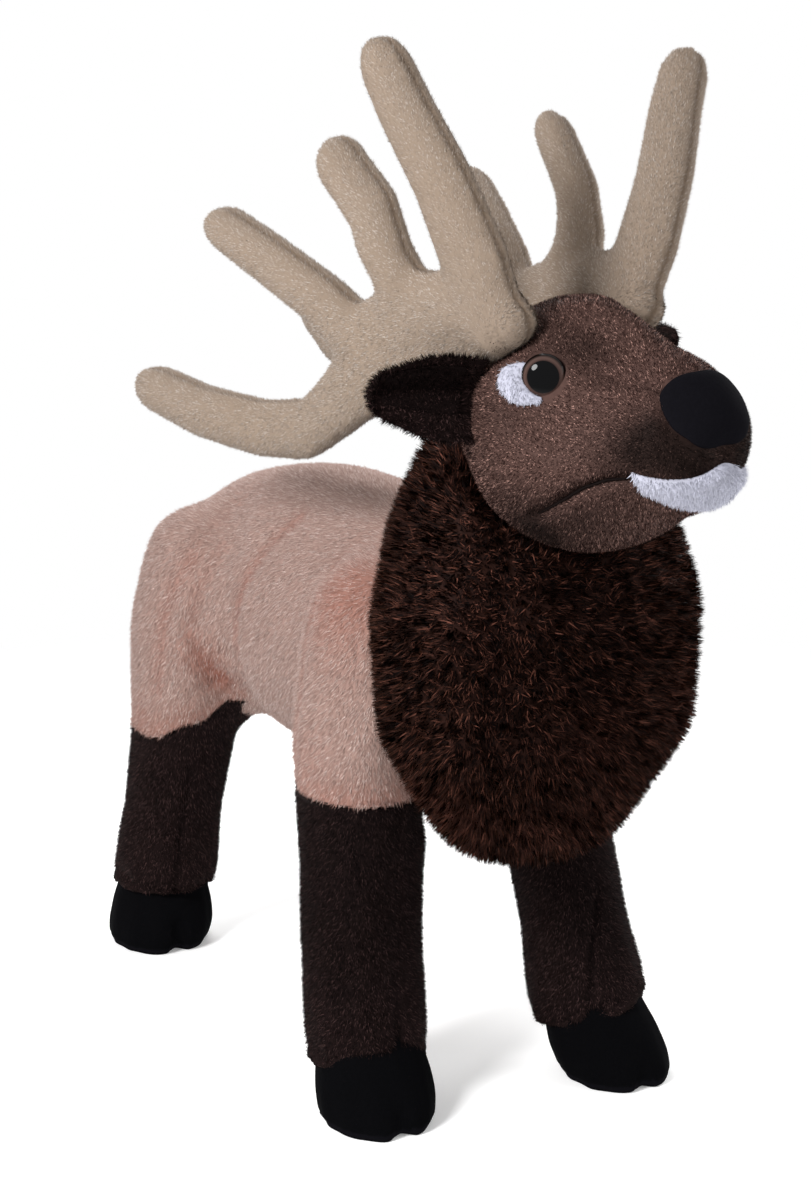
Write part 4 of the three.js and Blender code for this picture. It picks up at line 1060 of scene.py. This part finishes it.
eyeLook = {
    "colours": [(0.69, colour(3, 3, 4)), (0.73, colour(58, 42, 38)), (0.83, colour(76, 58, 53)),
                (0.93, colour(14, 9, 8))],  # from the pupil to the rim, at shares of the radius
    "sink": 1.0, "under": 1.2, "back": -1.5, "foot": 0.9,
    "rings": 28, "firstRing": 0.02, "turns": 64, "rim": 0.97,
    "castFrom": 30,                     # from how far off the skin under the eye is found, mm
    "azimuth": 50, "rise": 6,           # where the eye looks, degrees sideways from the front and up
    "shift": {"left": (-2, 3, -2.5), "right": (0, 0, 0)},    # sewn a little unevenly, head's own axes
    "patchTurns": [-32, -18, -4, 12, 32, 55, 76, 92],        # degrees from backward through down
    "patchReach": [0.2, 3.8, 8.2, 8.6, 5.6, 3.2, 0.9, 0.1],  # how far the white goes beyond the eye, mm
    "patchGrid": (36, 12), "patchStart": 16, "patchAim": 2, "patchProud": 1.0, "patchSink": 0.8,
    "bareDepth": 8,                                          # no pile this deep under the eye
}


def eyeFinish():
    made, tree, shader = newMaterial("eye_plastic", Roughness=0.05, Specular_IOR_Level=0.1)
    ramp = nodeOf(tree, "ShaderNodeValToRGB")
    stops = ramp.color_ramp.elements
    for number, (share, tint) in enumerate(eyeLook["colours"]):
        stop = stops[number] if number < len(stops) else stops.new(share)
        stop.position, stop.color = share, tint
    tree.links.new(valueNode(tree, "across"), ramp.inputs[0])
    tree.links.new(ramp.outputs[0], shader.inputs["Base Color"])
    return made


def eyeProfile(side):
    # Of the CAD eye: radius, height of the wall and of the dome over the wall's foot, the middle of that
    # foot, the washer's middle and the way the eye looks
    low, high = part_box(f"eye_washer_{side}")
    washer = np.array(low + high) / 2
    away = cornersOf(nodes[f"eye_{side}"].data).astype(float) - washer
    far = np.linalg.norm(away, axis=1)
    axis = unit(away[far > far.max() * eyeLook["rim"]].mean(0))
    height = away @ axis
    reach = np.linalg.norm(away - height[:, None] * axis, axis=1)
    rim = height[reach > reach.max() * eyeLook["rim"]]
    low = rim.min()
    return reach.max(), rim.max() - low, height.max() - low, washer + axis * low, washer, axis


def eyeAxes(side):
    # The middle of the eye's foot on the head's skin, and where it looks
    sign = 1 if side == "left" else -1
    foot = wedged(eyeProfile(side)[3][None])[0] + np.array(eyeLook["shift"][side]) * mm @ headAxes
    turn, rise = math.radians(eyeLook["azimuth"]), math.radians(eyeLook["rise"])
    level = math.cos(rise)
    axis = np.array([sign * math.sin(turn) * level, -math.cos(turn) * level, math.sin(rise)]) @ headAxes
    reach = eyeLook["castFrom"] * mm
    hit = headTree.ray_cast(Vector(foot + axis * reach), Vector(-axis), 2 * reach)[0]
    return np.array(hit) - axis * eyeLook["sink"] * mm, axis


def eyeballOf(side):
    # A cap of a ball: the height falls as √(1 − share²) of the dome's height, on a grid of turns and
    # shares of the radius, and a short wall and a flat back close it
    centre, axis = eyeAxes(side)
    radius, wallTop, top, foot, washer, cadAxis = eyeProfile(side)
    right = unit(np.cross(axis, [0, 0, 1]))
    up = np.cross(right, axis)
    turns = eyeLook["turns"]
    share = np.sin(np.linspace(eyeLook["firstRing"], 1, eyeLook["rings"]) * math.pi / 2)
    rise = wallTop + (top - wallTop) * np.sqrt(np.clip(1 - share ** 2, 0, 1))
    back = eyeLook["back"] * mm
    walls = [[radius, 0, 1], [radius * eyeLook["foot"], back, 1]]
    profile = np.concatenate([np.stack([radius * share, rise, share], 1), walls])
    angle = np.linspace(0, 2 * math.pi, turns, endpoint=False)
    ring = np.cos(angle)[None, :, None] * right + np.sin(angle)[None, :, None] * up
    grid = centre + ring * profile[:, 0][:, None, None] + axis * profile[:, 1][:, None, None]
    caps = np.stack([centre + axis * top, centre + axis * back])
    row = np.arange(turns)
    after = (row + 1) % turns
    bands = np.arange(len(profile) - 1)[:, None] * turns
    quads = np.stack([bands + row, bands + turns + row, bands + turns + after, bands + after], 2)
    quads = quads.reshape(-1, 4)
    last = (len(profile) - 1) * turns
    topPole = last + turns
    topCap = np.stack([np.full(turns, topPole), row, after], 1)
    footCap = np.stack([np.full(turns, topPole + 1), last + after, last + row], 1)
    triangles = np.concatenate([quads[:, [0, 1, 2]], quads[:, [0, 2, 3]], topCap, footCap])
    made = meshObject(f"eye_{side}_dome", np.concatenate([grid.reshape(-1, 3), caps]), triangles)
    reshaped(made, turnOutward)
    setValue(made.data, "across", np.concatenate([np.repeat(profile[:, 2], turns), [0, 1]]))
    # The washer inside turns with the eye
    turned = np.array(Vector(cadAxis).rotation_difference(Vector(axis)).to_matrix())
    ring = meshObject(f"eye_{side}_washer", *joinedParts([f"eye_washer_{side}"]), smooth=False)
    reshaped(ring, lambda shape: bmesh.ops.remove_doubles(shape, verts=shape.verts, dist=0.01 * mm))
    ring.data.shade_flat()
    depth = np.linalg.norm(foot - washer)
    setCorners(ring.data, (cornersOf(ring.data) - washer) @ turned.T + centre - axis * depth)
    dress(ring, "head", "washer_plastic", replaced=[f"eye_washer_{side}"])
    return made, radius


def eyePatchOf(side, radius):
    # A crescent behind and below the eye, whose reach beyond it goes up and down with the turn round it
    centre, axis = eyeAxes(side)
    backward = unit(headBack - axis * (headBack @ axis))
    downward = np.array([0, 0, -1.0]) + axis * axis[2]
    downward = unit(downward - backward * (downward @ backward))
    across, along = eyeLook["patchGrid"]
    turns = np.linspace(eyeLook["patchTurns"][0], eyeLook["patchTurns"][-1], across)[None, :]
    reach = np.interp(turns, eyeLook["patchTurns"], eyeLook["patchReach"]) + eyeLook["under"]
    turn = np.radians(turns)
    ring = radius / mm - eyeLook["under"] + reach * np.linspace(0, 1, along)[:, None]
    flat = (np.cos(turn)[..., None] * backward + np.sin(turn)[..., None] * downward) * ring[..., None] * mm
    aims = centre + axis * eyeLook["patchAim"] * mm + flat
    local = (aims.reshape(-1, 3) - headMiddle) @ headAxes.T / mm
    start = (centre - axis * eyeLook["patchStart"] * mm - headMiddle) @ headAxes.T / mm
    return patchOnHead(f"eye_white_{side}_skin", local.reshape(aims.shape), eyeLook["patchProud"],
                       eyeLook["patchSink"], tuple(start))


finishes["eye_plastic"] = eyeFinish()
finishes["washer_plastic"], tree, shader = newMaterial("washer_plastic", Roughness=0.45)
tree.links.new(mixNode(tree, "MIX", noiseNode(tree, 900), colour(214, 214, 214), colour(228, 228, 228)),
               shader.inputs["Base Color"])
underEyes = np.zeros(len(headPoints), bool)
for number, side in enumerate(("left", "right")):
    eye, radius = eyeballOf(side)
    dress(eye, "head", "eye_plastic", replaced=[f"eye_{side}"])
    patch = eyePatchOf(side, radius)
    dress(patch, "head", "white_plush", replaced=[f"eye_white_{side}"])
    growPile(f"eye_white_{side}_pile", patch, whitePile | {"seed": 23 + number, "length": 1.3},
             "head", "white_plush")
    centre, axis = eyeAxes(side)
    way = headPoints - centre
    height = way @ axis
    near = np.abs(height) < eyeLook["bareDepth"] * mm
    underEyes |= (np.linalg.norm(way - height[:, None] * axis, axis=1) < radius) & near

underPatches = nearTo(headPoints, np.concatenate(coveredPlaces), headLook["bareNear"])
covered = underEyes | underPatches | (mouthTone > headLook["mouthBare"])
setValue(head.data, "bare", covered.astype(np.float32))
growPile("head_pile", head, shortPile | {
    "seed": 20, "perSquareMm": 8.0, "length": 0.9, "width": 0.24, "lean": 38, "leanSpread": 18, "swing": 70,
    "jitter": 0.5, "rareGlints": 6, "nap": steadyNap(*(headLook["nap"] @ headAxes))}, "head", "head_plush")
print("stage: head")


# Ears: a cupped leaf, wide at its root and blunt at its tip, with a dark lining pressed in along a crease

earLook = {
    "root": (35, 13, 9.5), "way": (28, 12, 3.5),             # head's own axes, left ear
    "length": 31, "half": 12.4, "narrowing": 0.36, "narrowFrom": 0.3, "narrowOver": 0.6,
    "cup": 4.2, "uncurl": 0.4, "thick": 2.6, "edge": 0.8,
    "crease": 2.2, "creaseAt": 0.12, "creaseWidth": 0.25,
    "foot": -0.12, "grid": (34, 30), "inset": 0.2,
    "lining": {"along": (0.06, 0.84), "across": (-0.4, 0.78), "raise": 0.5, "sink": 0.4,
               "grid": (22, 20), "tone": 0.7, "pile": 1.2},
}


def earGrid(side, along, across):
    # Half width falls from root to tip, as half × (1 − narrowing × step) × √(1 − u¹⁰). The rims curl
    # forward with |v|^2.5, and the crease is a bell across
    sign = 1 if side == "left" else -1
    u, v = np.meshgrid(along, across)
    way = unit(np.array([sign * earLook["way"][0], earLook["way"][1], earLook["way"][2]], float))
    up = unit(np.array([0, 0, 1.0]) - way * way[2])
    front = np.cross(way, up) * sign
    narrow = earLook["narrowing"] * eased((u - earLook["narrowFrom"]) / earLook["narrowOver"])
    half = earLook["half"] * (1 - narrow) * np.sqrt(1 - np.clip(u, 0, 1) ** 10)
    curl = earLook["cup"] * np.abs(v) ** 2.5 * (1 - earLook["uncurl"] * u)
    bell = np.exp(-((v - earLook["creaseAt"]) / earLook["creaseWidth"]) ** 2)
    crease = earLook["crease"] * bell * (1 - u ** 4)
    place = (np.array([sign, 1, 1]) * earLook["root"] + way * (u * earLook["length"])[..., None]
             + up * (half * v)[..., None] + front * (curl - crease)[..., None])
    thick = earLook["thick"] * (1 - v ** 6) * (1 - u ** 8) + earLook["edge"]
    frontWay = front @ headAxes
    return headPlace(place.reshape(-1, 3)).reshape(place.shape), thick[..., None] * mm, frontWay


for number, side in enumerate(("left", "right")):
    seat = jointAt[f"ear_{side}_bend"]
    body = f"ear_{side}"
    rows, columns = earLook["grid"]
    inner, thick, frontWay = earGrid(side, np.linspace(earLook["foot"], 1, rows), np.linspace(-1, 1, columns))
    shell = refined(cushion(f"ear_{side}_skin", inner, inner - frontWay * thick))
    setValue(shell.data, "bare", np.zeros(len(shell.data.vertices)))
    skinned(shell, earLook["inset"])
    dress(shell, body, "dark_plush", replaced=[f"ear_{side}_shell"])
    earPile = shortPile | {"perSquareMm": 5.0, "length": 2.0, "width": 0.32, "lean": 45, "leanSpread": 16,
                           "swing": 30, "jitter": 0.35, "rareGlints": 4, "nap": napFrom(seat)}
    growPile(f"ear_{side}_pile", shell, earPile | {"seed": 30 + number}, body, "dark_plush")
    look = earLook["lining"]
    rows, columns = look["grid"]
    inner, thick, frontWay = earGrid(
        side, np.linspace(*look["along"], rows), np.linspace(*look["across"], columns))
    lining = refined(cushion(f"ear_{side}_lining_skin", inner + frontWay * look["raise"] * mm,
                             inner - frontWay * look["sink"] * mm))
    skinned(lining, 0, tone=np.full(len(lining.data.vertices), look["tone"]))
    dress(lining, body, "dark_plush", replaced=[f"ear_{side}_lining"])
    growPile(f"ear_{side}_lining_pile", lining, earPile | {"seed": 32 + number, "length": look["pile"]},
             body, "dark_plush")
print("stage: ears")


# Antlers

antlerLook = {"voxel": 2.2, "relax": 6, "swell": 0.8, "heldWidth": 1.5, "inset": 0.4,
              "seamWidth": 0.9, "seamDepth": 0.6}
for number, side in enumerate(("left", "right")):
    parts = [f"antler_{side}_outer_panel", f"antler_{side}_inner_panel", f"antler_{side}_stuffing"]
    foot = jointAt[f"antler_{side}_sway"]
    antler = closedForm(f"antler_{side}_skin", parts, antlerLook["voxel"], antlerLook["relax"])
    panels = [[parts[0]], [parts[1]]]
    held = seamField(cornersOf(antler.data), panels, antlerLook["heldWidth"])
    swell(antler, held > clothLook["heldFrom"], antlerLook["swell"])
    refined(antler)
    seam = seamField(cornersOf(antler.data), panels, antlerLook["seamWidth"])
    skinned(antler, antlerLook["inset"], seam=seam, seamDepth=antlerLook["seamDepth"])
    dress(antler, f"antler_{side}", "antler_plush", replaced=parts)
    growPile(f"antler_{side}_pile", antler, shortPile | {
        "seed": 40 + number, "perSquareMm": 4.0, "length": 1.1, "width": 0.28, "lean": 58, "leanSpread": 10,
        "nap": napFrom(foot)}, f"antler_{side}", "antler_plush")
print("stage: antlers")


# Tail

tailLook = {"voxel": 1.6, "relax": 3, "inset": 0.5, "seamWidth": 0.8, "seamDepth": 0.5,
            "fuller": 1.4, "closer": 2.0, "rooted": 7.0, "rootHeight": 16, "rootFrom": 0.8}
tailParts = ["tail_top", "tail_underside"]
tail = refined(closedForm("tail_skin", tailParts, tailLook["voxel"], tailLook["relax"]))
seam = seamField(cornersOf(tail.data), [[part] for part in tailParts], tailLook["seamWidth"])
skinned(tail, tailLook["inset"], seam=seam, seamDepth=tailLook["seamDepth"])
dress(tail, "tail", "body_plush", replaced=tailParts)
offset(tail, tailLook["fuller"])
# The rump's skin lies inside the CAD's, so the tail hangs closer and its root runs on into the rump
points = cornersOf(tail.data)
rooted = (points[:, 2] - jointAt["tail_lift"][2]) / (tailLook["rootHeight"] * mm)
rooted = eased(rooted + tailLook["rootFrom"])
points[:, 1] -= (tailLook["closer"] + tailLook["rooted"] * rooted) * mm
setCorners(tail.data, points)
growPile("tail_pile", tail, bodyPile | {"seed": 50, "nap": downNap}, "tail", "body_plush")
print("stage: tail")


# Floor, light and camera

studio = {
    "camera": (-413.7, -774.7, 383.8), "target": (-13.5, -22.1, 165),
    "lens": 81.84, "sensor": 36, "clip": (0.01, 30),    # the clip in metres
    "lamps": {
        "key": {"place": (-820, -330, 700), "size": 320, "power": 12.5},
        "side": {"place": (850, 250, 480), "size": 500, "power": 4.5},
        "fill": {"place": (700, -620, 420), "size": 700, "power": 2.6},
        "back": {"place": (150, 700, 700), "size": 600, "power": 5.0},
    },
    "world": 0.5,
    "floorReach": 12000, "shadowReach": (260, 560), "floorGlow": 0.22,
}


def aimed(thing, place):
    thing.location = Vector(place) * mm
    way = Vector(studio["target"]) * mm - thing.location
    thing.rotation_euler = way.to_track_quat("-Z", "Y").to_euler()
    scene.collection.objects.link(thing)
    return thing


for name, look in studio["lamps"].items():
    lamp = bpy.data.lights.new(name, "AREA")
    lamp.shape = "DISK"
    lamp.size = look["size"] * mm
    lamp.energy = look["power"]
    aimed(bpy.data.objects.new(name, lamp), look["place"])

cameraData = bpy.data.cameras.new("camera")
cameraData.lens = studio["lens"]
cameraData.sensor_width = studio["sensor"]
cameraData.clip_start, cameraData.clip_end = studio["clip"]
scene.camera = aimed(bpy.data.objects.new("camera", cameraData), studio["camera"])

world = bpy.data.worlds.new("studio")
scene.world = world
world.use_nodes = True
tree = world.node_tree


def whiteRays(tree):
    # 1 for the rays that show the surroundings: the camera's own, reflected and let through
    rays = nodeOf(tree, "ShaderNodeLightPath").outputs
    seen = mathNode(tree, "MAXIMUM", rays["Is Camera Ray"], rays["Is Glossy Ray"])
    return mathNode(tree, "MAXIMUM", seen, rays["Is Transmission Ray"])


tree.links.new(mixNode(tree, "MIX", whiteRays(tree), (studio["world"],) * 3 + (1,), (1, 1, 1, 1)),
               tree.nodes["Background"].inputs["Color"])

floorMaterial, tree, shader = newMaterial("floor", Roughness=0.9, Specular_IOR_Level=0.1)
tree.links.new(mixNode(tree, "MIX", noiseNode(tree, 3), colour(250, 250, 250), colour(252, 252, 252)),
               shader.inputs["Base Color"])
# Far from the toy the floor is plain white to the camera; near it a little glow leaves the shadow to see
away = nodeOf(tree, "ShaderNodeVectorMath", operation="LENGTH")
tree.links.new(nodeOf(tree, "ShaderNodeTexCoord").outputs["Object"], away.inputs[0])
spread = nodeOf(tree, "ShaderNodeMapRange", interpolation_type="SMOOTHSTEP")
near, far = (reach * mm for reach in studio["shadowReach"])
feed(tree, zip(spread.inputs[:3], (away.outputs["Value"], near, far)))
farShare = mathNode(tree, "MULTIPLY", spread.outputs[0], whiteRays(tree))
plain = nodeOf(tree, "ShaderNodeEmission")
glow = nodeOf(tree, "ShaderNodeEmission")
tree.links.new(mathNode(tree, "MULTIPLY", whiteRays(tree), studio["floorGlow"]), glow.inputs["Strength"])
nearFloor = nodeOf(tree, "ShaderNodeAddShader")
both = nodeOf(tree, "ShaderNodeMixShader")
feed(tree, (
    (nearFloor.inputs[0], shader.outputs[0]), (nearFloor.inputs[1], glow.outputs[0]),
    (both.inputs[0], farShare), (both.inputs[1], nearFloor.outputs[0]), (both.inputs[2], plain.outputs[0]),
    (tree.nodes["Material Output"].inputs["Surface"], both.outputs[0])))
reach = studio["floorReach"] * mm
corners = np.array([[-1, -1, 0], [1, -1, 0], [1, 1, 0], [-1, 1, 0]]) * reach
floor = meshObject("floor", corners, np.array([[0, 1, 2, 3]]), smooth=False)
floor.data.materials.append(floorMaterial)
scene.view_settings.view_transform = "Standard"
print("stage: studio")
